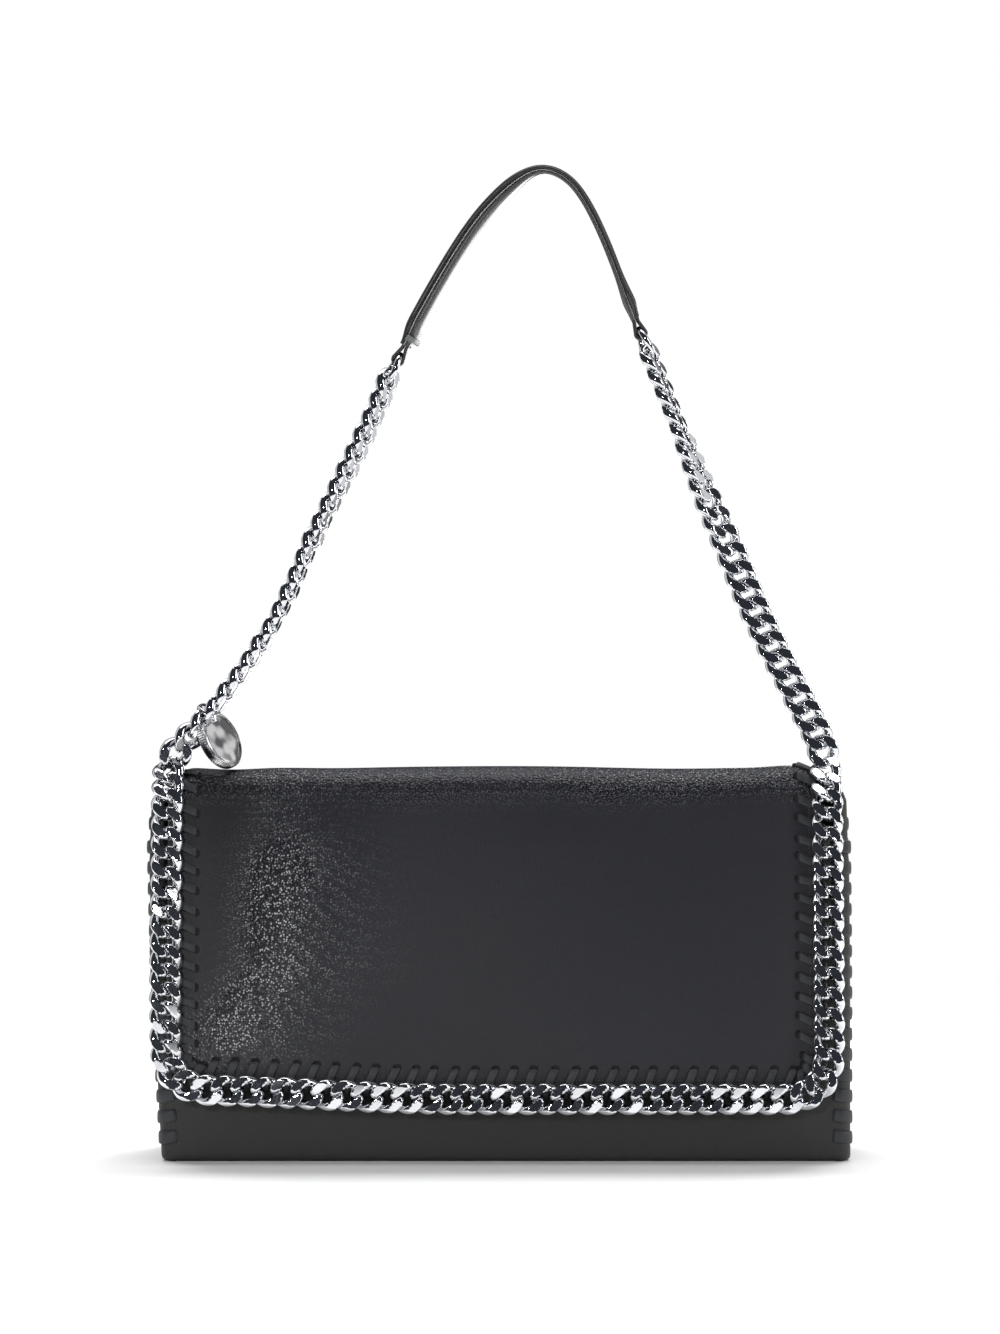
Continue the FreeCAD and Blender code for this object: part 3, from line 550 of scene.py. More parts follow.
def body_tops(front_top, back_top, side_front, right_back, left_back):
    """Height of the bag's rim at each point of a level line."""
    t, s = shares(long_count), shares(short_count)
    corner = np.ones(turn_count)
    edge = np.minimum(t, 1 - t) * 2 * half_width
    front_run = side_front + (front_top - side_front) * smooth(edge / 14)
    side_back = right_back + (left_back - right_back) * smooth(t)
    back_run = side_back + (back_top - side_back) * smooth(edge / 10)
    return np.concatenate([
        front_run, side_front * corner, side_front + (right_back - side_front) * smooth(s),
        right_back * corner, back_run, left_back * corner,
        left_back + (side_front - left_back) * smooth(s), side_front * corner])


def body_shell(heights, floor, panel_inset, side_inset, corner):
    """Level lines from the floor up; the foot is rounded and the gussets' ears drawn in."""
    foot_radius, ear_height, ear_draw = 2.0, 7, 4.0
    rows = []
    middle = np.array([0.0, shift_y])
    for v in np.concatenate([np.linspace(0, 0.06, 9)[:-1], np.linspace(0.06, 1, 46)]):
        z = floor + (heights - floor) * v
        ring = body_ring(z, panel_inset, side_inset, corner)
        up = np.clip(z - floor, 0, foot_radius)
        inset = foot_radius - np.sqrt(np.maximum(foot_radius ** 2 - (foot_radius - up) ** 2, 0))
        at_end = np.abs(ring[:, :1]) > half_width - side_inset - corner
        straight_in = [[0, 1]] * np.sign(shift_y - ring[:, 1:2])
        inward = np.where(at_end, unit(middle - ring[:, :2]), straight_in)
        ring[:, :2] += inward * inset[:, None]
        near_end = smooth((np.abs(ring[:, 0]) - half_width + 12) / 10)
        ear = np.clip(1 - (heights - z) / ear_height, 0, 1) ** 2 * near_end
        ring[:, 0] -= np.sign(ring[:, 0]) * ear_draw * ear
        rows.append(ring)
    return lean_in(np.stack(rows))


def make_body():
    heights = body_tops(front_top=front_height, back_top=136.0, side_front=119.0, right_back=139.0,
                        left_back=135.0)
    stock = Stock()
    add_tub(stock, body_shell(heights, floor=0.0, panel_inset=0.0, side_inset=0.0, corner=4.5),
            body_shell(heights, floor=leather, panel_inset=leather, side_inset=leather, corner=3.2))
    stock.piece("bag_body", body_leather, "bag", ["front_panel", "back_panel", "base_panel", "gusset_left",
                                                  "gusset_right"], "bag_leather")


def make_lining():
    panels, sides = 119.5, 118.5
    heights = body_tops(panels, panels, sides, sides, sides)
    stock = Stock()
    add_tub(stock, body_shell(heights, floor=3.9, panel_inset=leather + 0.35, side_inset=8.5, corner=4.0),
            creased(body_shell(heights, floor=4.4, panel_inset=leather + 0.9, side_inset=9.1, corner=3.5)))
    stock.piece("bag_lining", lining_cloth, "bag", ["lining"], "lining_cloth")


def creased(points):
    """The lining's points with shallow creases, a fraction of a millimetre deep."""
    x, z = points[..., 0], points[..., 2]
    depth = 0.036
    return moved(points, 0, depth * np.sin(x * 0.21 + z * 0.05) * np.sin(z * 0.13 + 1.0) * np.sign(x))


# Lacing of the upright edges

lace_first, lace_spacing = 9.0, 7.7
lace_reach, lace_corner, lace_slant = 6.3, 4.5, 1.3
side_lace_size = 4.9, 1.3


def side_strip(wall, sign, z):
    """One strip round an upright edge: its line from hole to hole, and the way out of the leather."""
    past, in_hole, on_leather = lace_reach - lace_corner, -0.9, 0.2
    a = np.concatenate([[0] * 3, np.linspace(0, math.pi / 2, 7), [math.pi / 2] * 3])
    n = len(a)
    flat = np.array([past + 0.6, past - 0.5, 0.6] + [0] * (n - 3))
    y0 = float(wall.y(z, 0))
    x = sign * (half_width - lace_corner * (1 - np.sin(a)) - flat)
    y = y0 - wall.side * (lace_corner * (1 - np.cos(a)) + flat[::-1])
    tilt = (np.linspace(0, 1, n) - 0.5) * lace_slant
    lift = np.array([in_hole] + [on_leather] * (n - 2) + [in_hole])
    normal = np.stack([sign * np.sin(a), wall.side * np.cos(a), 0 * a], -1)
    path = np.stack([x, y, z - tilt], -1) + normal * lift[:, None]
    path[:, 1] += wall.y(path[:, 2], 0) - y0
    path = smooth_path(lean_in(path), 4)
    share = np.linspace(0, n - 1, len(path))
    return path, unit(np.stack([np.interp(share, range(n), normal[:, k]) for k in range(3)], -1))


def make_side_lacing():
    """Strips round the four upright edges, each from a hole in the panel to one in the gusset."""
    for wall, wall_name, top in ((front, "front", 117.2), (back, "back", 128.2)):
        for hand, sign in (("left", -1), ("right", 1)):
            run = "%s_%s" % (wall_name, hand)
            stock, holes = Stock(), Stock()
            for z in np.arange(lace_first, top, lace_spacing):
                path, out = side_strip(wall, sign, z)
                along = unit(np.gradient(path, axis=0))
                across = unit(np.cross(along, out))
                add_strip(stock, path, across, np.cross(across, along), *side_lace_size, 0.75)
                for k in (1, -2):
                    add_hole(holes, path[k] + out[k] * 0.15, out[k], [0, 0, 1], 1.9, 0.8)
            stock.piece("side_laces_" + run, lacing_leather, "bag", ["side_lacing_" + run], "lacing_leather")
            holes.piece("side_holes_" + run, painted_hole_shade, "bag", slot="lacing_leather")


def add_hole(stock, place, face, long_way, long_half, short_half):
    """A dark slit on the leather where a strip goes in: a near black disc of painted shade standing in for
    the shaded hole.
    """
    count, depth, lift = 18, 0.5, 0.02
    face, long_way = unit(face), np.asarray(long_way, float)
    a = unit(long_way - face * (long_way @ face))
    b = np.cross(face, a)
    t = round_turn(count)[:, None]
    ring = place + a * long_half * np.cos(t) + b * short_half * np.sin(t)
    pairs = [(k, (k + 1) % count) for k in range(count)]
    faces = [[k, after, 2 * count] for k, after in pairs]
    faces += [[k + count, after + count, after, k] for k, after in pairs]
    faces.append([k + count for k in range(count - 1, -1, -1)])
    stock.add(np.vstack([ring, ring - face * depth, [place + face * lift]]), faces)


# Flap: the leather, from the back over the fold and down the front

roll_radius = fold_radius + leather
roll_start = math.radians(back_lean_deg)
roll_length = (math.pi - flap_top_angle - roll_start) * roll_radius
flap_reach = front.radius + leather_face
flap_low = chain_bottom + 2.0
flap_length = roll_length + flap_reach * (flap_top_angle - float(front.angle(flap_low, leather_face)))
flap_corner = 12.0
fold_dips = ((-0.9, -100, 13), (-0.4, -62, 20), (0.4, 5, 40), (-0.6, 66, 30), (0.7, 110, 9))


def flap_section(s, offset):
    """Y, Z and the normal of the flap's section, s along it, offset from the front panel."""
    turn = roll_start + np.minimum(s, roll_length) / roll_radius
    angle = flap_top_angle - np.maximum(s - roll_length, 0) / flap_reach
    reach = fold_radius + offset - leather_back
    roll = np.stack([fold_centre[0] + reach * np.cos(turn), fold_centre[1] + reach * np.sin(turn),
                     np.cos(turn), np.sin(turn)], -1)
    fall = np.stack(front.at(angle, offset), -1)
    return np.where((s < roll_length)[..., None], roll, fall)


def flap_swell(x, s, z):
    """How far the leather swells: dips along the fold, soft folds down the front."""
    dips = sum(depth * bump(x, middle, width) for depth, middle, width in fold_dips)
    ends = 1.3 * smooth((np.abs(x) - 111) / 9) ** 2
    fold = dips * bump(s, roll_length * 0.55, 15) - ends * bump(s, roll_length * 0.62, 13)
    ridge = 2.3 * bump(x + 80 - 0.45 * (z - 85), 0, 18) * smooth((z - 30) / 25) * smooth((140 - z) / 25)
    waves = 0.5 * np.sin(x * 0.045 + 0.6) * smooth((z - 30) / 30) * smooth((135 - z) / 20)
    return fold + np.where(s > roll_length * 0.8, ridge + waves, 0) * smooth((118 - np.abs(x)) / 14)


def flap_half(s, z):
    """Half the flap's width: drawn in at the back, with round lower corners."""
    half = fold_half_width + (leather_half_width - fold_half_width) * smooth((s - roll_length * 0.4) / 9)
    drop = np.clip(flap_low + flap_corner - z, 0, flap_corner)
    return half - (flap_corner - np.sqrt(flap_corner * flap_corner - drop * drop))


def flap_grid(offset):
    """Rows of points across the flap, from the back to its lower edge."""
    s = np.concatenate([np.linspace(0, roll_length, 44)[:-1],
                        np.linspace(roll_length, flap_length - flap_corner, 70)[:-1],
                        flap_length - flap_corner * np.cos(np.linspace(0, math.pi / 2, 12))])
    section = flap_section(s, offset)
    y, z, ny, nz = (section[:, k][:, None] for k in range(4))
    x = np.linspace(-1, 1, 170)[None, :] * flap_half(s, section[:, 1])[:, None]
    swell = flap_swell(x, s[:, None], z)
    return hang(np.stack([x, y + ny * swell, z + nz * swell], -1))


def make_flap():
    stock = Stock()
    add_sheet(stock, flap_grid(leather_face), flap_grid(leather_back + 0.02))
    flap = stock.piece("flap_leather", bag_leather, None, ["flap_outer", "flap_fold"], "bag_leather")
    cut_place = flap.data.attributes.new("cut_place", "FLOAT_VECTOR", "POINT")
    cut_place.data.foreach_set("vector", (np.vstack(stock.points) * MM).astype(np.float32).ravel())
    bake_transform(flap)
    stock = Stock()
    add_sheet(stock, flap_grid(leather_back), flap_grid(flap_gap))
    inside = stock.piece("flap_inside", lining_cloth, None, ["flap_lining", "flap_fold_lining"],
                         "lining_cloth")
    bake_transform(inside)


# Chain: the route round the flap, then each link

chain_reach = front.radius + chain_plane
join_angle = float(front.angle(flap_top_height - wire, chain_plane))
join = np.array(front.at(join_angle, chain_plane)[:2])
lead_in = float(np.linalg.norm(join - hinge))
side_run = chain_reach * (join_angle - float(front.angle(chain_bottom, chain_plane))) - chain_corner
corner_run = chain_corner * math.pi / 2
bottom_run = 2 * (chain_half_span - chain_corner)
route_length = 2 * (lead_in + side_run + corner_run) + bottom_run
flap_links = round((route_length - 2 * link_half_length) / link_pitch) + 1
flap_pitch = (route_length - 2 * link_half_length) / (flap_links - 1)


def route(s):
    """A point of the chain's line, s along it from the left corner, and the way out."""
    mirrored = s > route_length / 2
    if mirrored:
        s = route_length - s
    x, fall = -chain_half_span, s - lead_in
    if fall > side_run + corner_run:
        x += chain_corner + fall - side_run - corner_run
        fall = side_run + chain_corner
    elif fall > side_run:
        turn = (fall - side_run) / chain_corner
        x += chain_corner * (1 - math.cos(turn))
        fall = side_run + chain_corner * math.sin(turn)
    if fall < 0:
        down = (join - hinge) / lead_in
        y, z = hinge + down * (lead_in + fall)
        ny, nz = down[1], -down[0]
    else:
        y, z, ny, nz = front.at(join_angle - fall / chain_reach, chain_plane)
    return hang(np.array([-x if mirrored else x, y, z])), np.array([0, ny, nz])


def route_frame(s, reach):
    """A place of the route, the way along it and the way out of the flap."""
    before, normal_before = route(s - reach)
    after, normal_after = route(s + reach)
    along = unit(after - before)
    face = normal_before + normal_after
    face = unit(face - along * (face @ along))
    return (before + after) / 2, along, face


def run_of(s):
    """Which run of the flap's edge a place along the route belongs to."""
    first_side = lead_in + side_run + corner_run / 2
    return "left" if s < first_side else "right" if s > route_length - first_side else "bottom"


def link_points(low_deg, high_deg, half_across, end_radius, side_radius, cut=None):
    """A twisted oval of wire: along, across and out. cut flattens its back and face."""
    around, section = 72, 22
    t = round_turn(around)

    def line(t):
        u, v = link_half_length * np.cos(t), half_across * np.sin(t)
        turn = np.radians(low_deg + (high_deg - low_deg) * (u + link_half_length) / (2 * link_half_length))
        return np.stack([u, v * np.cos(turn), v * np.sin(turn)], -1)

    middle = line(t)
    way = unit(line(t + 1e-4) - line(t - 1e-4))
    out = unit(middle - way * np.sum(middle * way, -1, keepdims=True))
    side = np.cross(way, out)
    p = round_turn(section)
    ring = out[:, None] * np.cos(p)[None, :, None] + side[:, None] * np.sin(p)[None, :, None]
    radius = end_radius + (side_radius - end_radius) * np.abs(np.sin(t)) ** 0.8
    points = middle[:, None] + ring * radius[:, None, None]
    if cut:
        points[..., 2] = np.clip(points[..., 2], *cut)
    return points.reshape(-1, 3), weave(around, section, True, True)


def turned(along, face, turn_deg):
    """Along, across and face of a link, the face turned about the chain."""
    along = unit(along)
    face = unit(face - along * (np.asarray(face) @ along))
    across = np.cross(face, along)
    turn = math.radians(turn_deg)
    return np.stack([along, across * math.cos(turn) + face * math.sin(turn),
                     face * math.cos(turn) - across * math.sin(turn)])


curb = link_points(link_twist, -link_twist, half_across=4.25, end_radius=1.35, side_radius=1.95,
                   cut=(-2.1, 2.4))


def add_link(stock, link, centre, axes):
    stock.add(link[0] @ axes + centre, link[1])


def chain_piece(stock, name, body, node):
    """Links gathered as one piece; the edges of their flats stay sharp."""
    stock.piece(name, chain_metal, body, [node], "chain_metal", sharp=28)


def make_flap_chain():
    """Links along the flap's edge, each tipped a little by chance."""
    stocks = {"left": Stock(), "bottom": Stock(), "right": Stock()}
    for k in range(flap_links):
        s = link_half_length + k * flap_pitch
        centre, along, face = route_frame(s, flap_pitch / 2)
        tip = chance.normal(0, 3.0, 2)
        axes = turned(along + face * math.radians(tip[0]), face, tip[1])
        add_link(stocks[run_of(s)], curb, centre, axes)
    for run, stock in stocks.items():
        chain_piece(stock, "flap_links_" + run, "flap", "flap_chain_" + run)


def lace_stations():
    """Places along the route where a strip binds the chain."""
    first = lead_in * 0.2
    count = int((route_length - 2 * first) / flap_pitch)
    start = (route_length - count * flap_pitch) / 2
    return [start + k * flap_pitch for k in range(count + 1)]


def lace_spot(s):
    """A point of the leather under the chain, the way along it and the way out."""
    short = min(s, route_length - s)
    if short > lead_in:
        spot, along, face = route_frame(s, 1.4)
        return spot - face * (chain_plane - leather_face), along, face
    side = -1 if s < route_length / 2 else 1
    y, z, ny, nz = flap_section(np.array(roll_length + wire + short - lead_in), leather_face)
    return np.array([side * chain_half_span, y, z]), side * np.array([0, nz, -ny]), np.array([0, ny, nz])


def swollen(point, face):
    """A point near the flap's outer face, moved with the swollen leather."""
    if point[1] > fold_centre[0] or point[2] > flap_top_height:
        turn = math.atan2(point[2] - fold_centre[1], point[1] - fold_centre[0])
        s = (turn - roll_start) * roll_radius
    else:
        s = roll_length + flap_reach * (flap_top_angle - float(front.angle(point[2], leather_face)))
    return point + face * float(flap_swell(point[0], np.array(s), point[2]))


def make_flap_lacing():
    """Flat strips that bind the chain to the flap, each from its slit round the edge."""
    stocks = {run: (Stock(), Stock()) for run in ("left", "bottom", "right")}
    threads = Stock()
    lace_width, lace_thick = 3.0, 0.95
    corner_reach, straight_reach = 9.0, 10.4
    for s in lace_stations():
        base, along, face = lace_spot(s)
        inward = np.cross(face, along)
        side = min(s, route_length - s) - lead_in - side_run
        reach = corner_reach if 0 < side < corner_run else straight_reach
        slant = 2.4 + chance.normal(0, 0.25)
        line = [(reach + 0.5, -0.9), (reach, 0.1), (reach - 0.8, 0.62), (6.0, 0.75), (2.5, 0.72), (1.0, 0.3),
                (0.6, -1.2), (1.4, -2.6), (5.0, -2.75), (reach - 0.6, -2.7), (reach + 0.2, -2.2)]
        path = [base + inward * d + face * h + along * slant * (d - 4) / 6 for d, h in line]
        path = smooth_path([swollen(spot, face) for spot in path], 4)
        tangent = unit(np.gradient(path, axis=0))
        lengthways = unit(along - inward * (along @ inward))
        out = unit(np.cross(tangent, lengthways))
        across = np.cross(out, tangent)
        laces, holes = stocks[run_of(s)]
        add_strip(laces, path, across, out, lace_width + chance.normal(0, 0.1), lace_thick)
        hole = base + inward * (reach + 0.8) + along * slant * (reach - 3) / 6 + face * 0.14
        add_hole(holes, swollen(hole, face), face, along, 1.6, 1.15)
        between = base + inward * 6.6 + along * (flap_pitch / 2 + slant * 0.4) + face * 0.1
        for k in (-1, 0, 1) if side > -side_run else ():
            add_stitch(threads, swollen(between + along * k * 1.5, face), along, face)
    for run, (laces, holes) in stocks.items():
        laces.piece("flap_laces_" + run, lacing_leather, "flap", ["flap_lacing_" + run], "lacing_leather")
        holes.piece("flap_holes_" + run, painted_hole_shade, "flap", slot="lacing_leather")
    threads.piece("edge_stitches", thread_dark, "flap", slot="lacing_leather")


def add_stitch(stock, middle, along, face):
    """One short stitch of thread that lies on the leather."""
    stitch = ((-0.6, -0.2), (-0.35, 0.08), (0.35, 0.08), (0.6, -0.2))
    line = np.array([middle + along * d + face * h for d, h in stitch])
    across = np.broadcast_to(np.cross(face, along), line.shape)
    add_strip(stock, line, across, np.broadcast_to(face, line.shape), 0.4, 0.35, 0.8, segments=8)


# Shoulder strap

def leg(sign, deg):
    """The way up along one leg of the strap."""
    deg = np.radians(deg)
    return np.stack([-sign * np.cos(deg), 0 * deg, np.sin(deg)], -1)


def strap_spots(sign, places):
    """Where neighbouring links of one strap chain meet, from the bottom up."""
    line = [(sign * chain_half_span, hinge[0], hinge[1])] + [(x, hinge[0], z) for x, z in places]
    return even_spots(smooth_path(line, 24), strap_links + 2)[0]


left_spots = strap_spots(-1, [(-104.2, 171.8), (-90.3, 190.9), (-79.6, 209.6), (-71.3, 228.3),
                              (-62.1, 247.0), (-52.6, 265.8), (-43.9, 284.5), (-40.54, 293.40)])
right_spots = strap_spots(1, [(121.6, 157.2), (117.5, 164.7), (113.8, 172.2), (104.0, 190.9), (95.2, 209.6),
                              (87.6, 228.3), (79.1, 247.0), (71.5, 265.8), (64.0, 284.5), (56.62, 302.63)])


def strap_turn(sign, k):
    """How far a strap link has its face turned away from the viewer, in degrees."""
    if sign < 0:
        return 76 * smooth((k + 1) / 4) - 12 * smooth((k - 11) / 9)
    return 8 + 65 * smooth((k - 9) / 10)


def make_strap():
    for hand, sign, spots in (("left", -1, left_spots), ("right", 1, right_spots)):
        corner, links = Stock(), Stock()
        for k in range(strap_links + 1):
            tip = chance.normal(0, 2.5)
            axes = turned(spots[k + 1] - spots[k], to_front, strap_turn(sign, k) + tip)
            add_link(links if k else corner, curb, (spots[k] + spots[k + 1]) / 2, axes)
        chain_piece(corner, "corner_ring_" + hand, "strap", "corner_link_" + hand)
        chain_piece(links, "strap_links_" + hand, "strap", "strap_chain_" + hand)


# Shoulder pad

pad_left_deg, pad_right_deg = 61.0, 68.0
pad_apex_rise = link_half_length + link_pitch / 2
pad_start = pad_apex_rise + 4.0
pad_curve = [(-21.3, 327.9), (-10.1, 345.9), (-0.4, 358.2), (7.5, 366.1), (13.4, 370.0), (18.2, 370.9),
             (23.4, 369.2), (28.8, 365.0), (34.4, 356.7), (40.3, 344.4), (46.2, 329.4)]


def pad_line(count):
    """Points of the pad's middle line, their share of the way from its left end, and its length."""
    start = left_spots[-1] + leg(-1, pad_left_deg) * pad_start
    finish = right_spots[-1] + leg(1, pad_right_deg) * pad_start
    run = smooth_path([start] + [(x, hinge[0], z) for x, z in pad_curve] + [finish], 24)
    line, at = even_spots(run, count)
    for step in range(12):
        line[1:-1] = (line[:-2] + line[2:] + 2 * line[1:-1]) / 4
    return line, at / at[-1], at[-1]


def make_pad():
    """Two layers of leather with a light edge between them, a little twisted."""
    line, share, length = pad_line(150)
    tangent = unit(np.gradient(line, axis=0))
    width_way = np.broadcast_to([0.0, 1.0, 0.0], line.shape)
    out = np.cross(width_way, tangent)
    out *= np.sign(out[len(out) // 2, 2])
    twist = np.radians(-13 + 16 * smooth((share - 0.35) / 0.25))[:, None]
    across = width_way * np.cos(twist) + out * np.sin(twist)
    up = out * np.cos(twist) - width_way * np.sin(twist)
    end = np.minimum(share, 1 - share) * length
    taper = 0.5 + 0.5 * smooth(end / 12)
    right_leg = smooth((share - 0.45) / 0.12) * smooth(end / 20)
    thin = (0.62 + 0.38 * smooth(end / 8)) * (1 - 0.42 * right_leg)
    for name, paint, side, width, thick in (("pad_leather", pad_leather, 1, 14.2, 3.1),
                                            ("pad_underside", pad_underside_painted_light, -1, 13.6, 2.6)):
        stock = Stock()
        middle = line + up * side * (thick * thin)[:, None] / 2
        add_strip(stock, middle, across, up, width * taper, thick * thin, 0.62, segments=24)
        if side > 0:
            pad = stock.piece(name, paint, "pad", ["shoulder_pad", "pad_core"], "pad_leather")
        else:
            stock.piece(name, paint, "pad", slot="pad_leather")
    stock = Stock()
    width, tuck, thick = 14.6, 1.4, 0.42
    width = (width - tuck * smooth((share - 0.52) / 0.1)) * taper
    add_strip(stock, line, across, up, width, thick, 0.5, segments=12)
    stock.piece("pad_edge", pad_edge_light, "pad", slot="pad_leather")
    ring_wire = wire / 2 + 0.1
    for hand, sign, deg, spots, turn in (
            ("left", -1, pad_left_deg, left_spots, 64.0), ("right", 1, pad_right_deg, right_spots, 73.0)):
        way = leg(sign, deg)
        stock = Stock()
        link = link_points(link_twist, 90 - turn, link_half_width, ring_wire, ring_wire)
        add_link(stock, link, spots[-1] + way * link_pitch / 2, turned(way, to_front, turn))
        stock.piece("pad_ring_" + hand, chain_metal, "pad", ["pad_link_" + hand], "chain_metal")
        make_loop(hand, spots[-1] + way * pad_apex_rise, way)
    make_keeper(line, share, length, across, up)


def make_loop(hand, apex, way):
    """The leather loop that holds the last link."""
    radius, middle, width, thick = wire / 2 + 0.85, -1.7, 6.4, 1.45
    side = np.cross(way, [0, 1, 0])
    legs = [(10.0, 0.72), (6.0, 0.72), (3.0, 0.78), (0.9, 1.3)]
    bow = [(middle + radius * math.cos(q), radius * math.sin(q))
           for q in np.linspace(math.pi / 2, 3 * math.pi / 2, 17)]
    rows = legs + bow + [(u, -v) for u, v in legs[::-1]]
    path = np.array([apex + way * u + side * v for u, v in rows])
    tangent = unit(np.gradient(path, axis=0))
    across = np.broadcast_to([0.0, 1.0, 0.0], path.shape)
    stock = Stock()
    add_strip(stock, path, across, np.cross(across, tangent), width, thick, 0.6)
    stock.piece("pad_tab_" + hand, pad_leather, "pad", ["pad_loop_" + hand], "pad_leather")


def make_keeper(line, share, length, across, up):
    """The light band round the underside's left end."""
    from_end, half_across, half_high, drop, width, thick = 3.5, 6.2, 1.6, 1.5, 2.2, 0.7
    k = int(np.argmin(np.abs(share * length - from_end)))
    a, b = (w[:, None] for w in soft_square(48, 0.5))
    path = line[k] + across[k] * (a * half_across) + up[k] * (b * half_high - drop)
    tangent = unit(np.roll(path, -1, 0) - np.roll(path, 1, 0))
    along = np.broadcast_to(unit(line[k + 1] - line[k]), path.shape)
    stock = Stock()
    add_strip(stock, path, along, np.cross(tangent, along), width, thick, 0.5, closed=True, segments=10)
    stock.piece("pad_band", keeper_light, "pad", ["pad_keeper"], "pad_leather")


# Charm

coin_centre, coin_radius = np.array([-104.6, 4.5, 156.3]), 11.3
coin_lean_deg, coin_turn_deg = 28, 60
eye_radius, eye_root = 1.9, 0.3
jump_radius, jump_axis = 4.0, (0.646, 0, 0.763)
jump_hold = np.array([-108.9, 0.4, 166.2])
charm_wire = 0.6
mill_teeth, mill_depth = 72, 0.16
coin_half = [(0.01, 1.75), (3, 1.74), (6, 1.7), (8.6, 1.6), (9.3, 1.5), (9.6, 1.25), (9.9, 1.2),
             (10.2, 1.45), (10.8, 1.5), (11.15, 1.3), (coin_radius, 0.9)]


def make_charm():
    """A coin that hangs beside the chain, clear of the opening flap."""
    lean, turn = math.radians(coin_lean_deg), math.radians(coin_turn_deg)
    up = np.array([-math.sin(lean), 0, math.cos(lean)])
    face = math.sin(turn) * np.array([math.cos(lean), 0, math.sin(lean)]) + math.cos(turn) * to_front
    side = np.cross(up, face)
    eye = coin_centre + up * (coin_radius + eye_radius - eye_root)
    stock = Stock()
    add_ring(stock, eye + unit(jump_hold - eye) * jump_radius, jump_axis, jump_radius, charm_wire)
    stock.piece("charm_jump_ring", chain_metal, "charm", ["charm_ring"], "chain_metal")
    stock = Stock()
    add_ring(stock, eye, to_front, eye_radius, charm_wire)
    profile = np.array(coin_half + [(r, -h) for r, h in coin_half[::-1]])
    r, h = profile[:, :1, None], profile[:, 1:, None]
    q = round_turn(432)[None, :, None]
    milled = (np.abs(h) < 1.35) & (r > 10.9)
    reach = r + mill_depth * np.cos(mill_teeth * q) * milled
    points = coin_centre + reach * np.cos(q) * side + reach * np.sin(q) * up + face * h
    stock.add(points, weave(*points.shape[:2], close_cols=True))
    stock.piece("charm_coin", charm_silver, "charm", ["charm_disc"], "chain_metal", sharp=40)


# Inside of the bag

def wall_sheet(wall, half, low, high, inner, outer, swell):
    """A pocket panel on the inside of a wall, swelling a little in its middle."""
    z = np.linspace(low, high, 30)[:, None]
    x = np.linspace(-half, half, 60)[None, :]
    soft = swell * np.cos(x / half * math.pi / 2) * np.sin((z - low) / (high - low) * math.pi)
    grids = [np.stack(np.broadcast_arrays(x, wall.y(z, offset) - wall.side * soft, z), -1)
             for offset in (outer, inner)]
    stock = Stock()
    add_sheet(stock, *grids)
    return stock


def make_pockets():
    """Both pockets, the zip's tapes, and the small fittings as the frame has them."""
    seat = -2.6
    tape_inner, tape_outer, tape_half = seat - 2.1, seat - 1.5, 75
    wall_sheet(back, 88, 22, 101, seat - 1.2, seat, 0.0).piece(
        "zip_pocket_cloth", lining_cloth, "bag", ["zip_pocket"], "lining_cloth")
    tapes = wall_sheet(back, tape_half, 83, 90.2, tape_inner, tape_outer, 0.0)
    upper = wall_sheet(back, tape_half, 93.8, 101, tape_inner, tape_outer, 0.0)
    tapes.add(upper.points[0], upper.faces)
    tapes.piece("zip_tape_cloth", tape_cloth, "bag", ["zip_tapes"], "zip_tape")
    wall_sheet(front, 75, 20, 46, seat - 0.8, seat, 0.5).piece(
        "slip_pocket_cloth", lining_cloth, "bag", ["slip_pocket"], "lining_cloth")
    for node in ("snap_socket", "snap_backing", "snap_stud", "snap_stud_washer", "zip_teeth_upper",
                 "zip_teeth_lower", "zip_stops", "zip_slider", "zip_pull"):
        show(node, fittings_metal)
    show("base_board", board_plain)


def show(node, paint):
    """A solid of the frame, shown as it is."""
    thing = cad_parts[node]
    thing.data.materials.clear()
    thing.data.materials.append(paint)


make_body()
make_lining()
make_side_lacing()
make_flap()
make_flap_chain()
make_flap_lacing()
make_strap()
make_pad()
make_charm()
make_pockets()


# Studio

def add_light(name, place, aim, size, power, mirrored=True):
    """A soft box, seen only by its light, and in the metal if mirrored."""
    lamp = bpy.data.lights.new(name, "AREA")
    lamp.shape = "RECTANGLE"
    lamp.size, lamp.size_y = size
    lamp.energy = power
    thing = bpy.data.objects.new(name, lamp)
    thing.location = place
    way = unit(np.array(aim, float) - np.array(place, float))
    thing.rotation_euler = Vector(way).to_track_quat("-Z", "Y").to_euler()
    thing.visible_camera = False
    thing.visible_glossy = mirrored
    bpy.context.scene.collection.objects.link(thing)


def make_floor():
    """A round sheet of pale paper."""
    radius, behind, sides = 520, 30, 96
    stock = Stock()
    t = round_turn(sides)
    stock.add(np.stack([radius * np.cos(t), behind + radius * np.sin(t), 0 * t], -1), [list(range(sides))])
    stock.piece("paper_floor", plain_paint("paper", (0.78, 0.78, 0.78), 0.9))


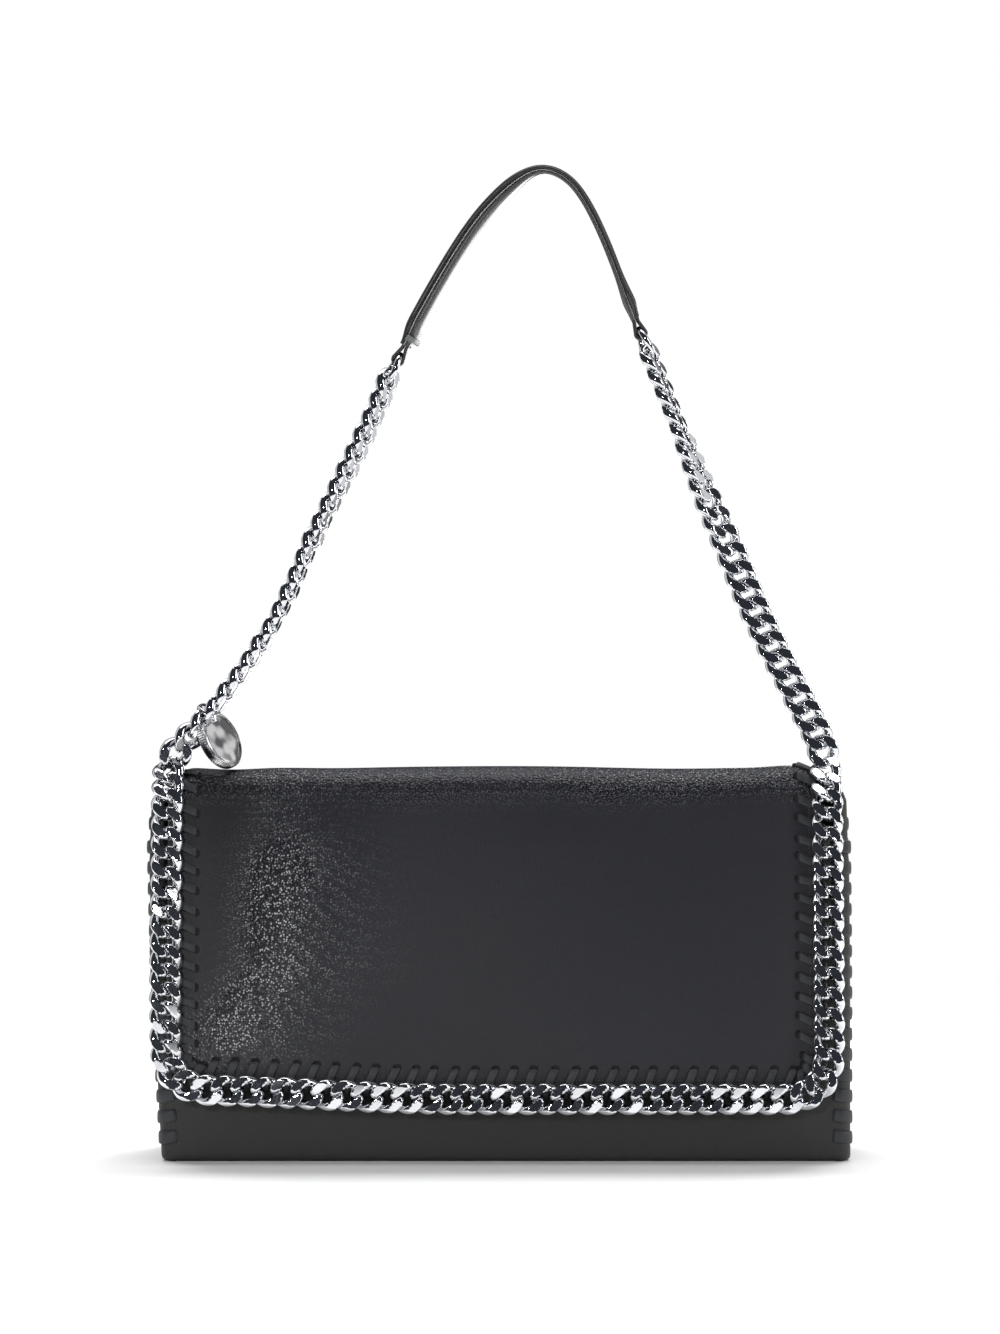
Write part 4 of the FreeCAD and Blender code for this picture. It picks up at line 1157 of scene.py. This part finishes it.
def make_sky():
    """White to look at; in the metal a dark room with one bright band behind the bag."""
    world = bpy.data.worlds.new("studio")
    world.use_nodes = True
    tree = world.node_tree
    seen = Tint(tree).node("ShaderNodeLightPath")
    mirrored = seen.node("ShaderNodeLightPath", out=3)
    y = seen.node("ShaderNodeSeparateXYZ", None, {0: seen.node("ShaderNodeTexCoord")}, 1)
    band = rise(y, 0.2) * (1 - rise(y - 0.65, 0.2)) * mirrored
    sky = seen.between(band.between((0.03, 0.033, 0.042, 1), (0.8, 0.8, 0.8, 1)), (1, 1, 1, 1))
    tree.links.new(sky.socket, tree.nodes["Background"].inputs["Color"])
    bpy.context.scene.world = world


def make_studio():
    """A pale floor, soft lights and the sky."""
    make_floor()
    add_light("left_box", (-0.9, -0.7, 0.6), (0, 0, 0.12), (0.18, 0.9), 4, mirrored=False)
    add_light("right_box", (1.0, -0.6, 0.6), (0, 0, 0.12), (0.2, 0.9), 4.5)
    add_light("top_box", (0, 0.0, 1.3), (0, 0, 0.1), (1.2, 0.4), 5)
    add_light("back_box", (0, 0.62, 1.35), (0, 0.05, 0), (1.8, 0.42), 40, mirrored=False)
    add_light("front_kicker", (-0.42, -1.5, 0.5), (-0.08, 0, 0.09), (0.12, 0.2), 4)
    add_light("pad_card", (0.3, 0.8, 0.22), (-0.02, 0, 0.34), (0.3, 0.3), 1.5)
    add_light("charm_card", (0.75, 0.16, 0.2), (-0.1, 0, 0.16), (0.16, 0.3), 0.5)
    make_sky()
    bpy.context.scene.view_settings.view_transform = "Standard"


def make_camera():
    """Looks at the bag as the photo does, at its scale."""
    photo_height_px, photo_mm_per_px = 1334, 0.3743
    sensor, distance, tilt = 36.0, 2.3, math.radians(2.5)
    aim = np.array([0.0011, -0.010, 0.1845])
    lens = bpy.data.cameras.new("photo_camera")
    lens.sensor_width = sensor
    lens.lens = sensor * distance / (photo_height_px * photo_mm_per_px * MM)
    lens.clip_end = 20
    thing = bpy.data.objects.new("photo_camera", lens)
    thing.location = aim + np.array([0, -math.cos(tilt), math.sin(tilt)]) * distance
    thing.rotation_euler = (math.pi / 2 - tilt, 0, 0)
    bpy.context.scene.collection.objects.link(thing)
    bpy.context.scene.camera = thing


make_studio()
make_camera()
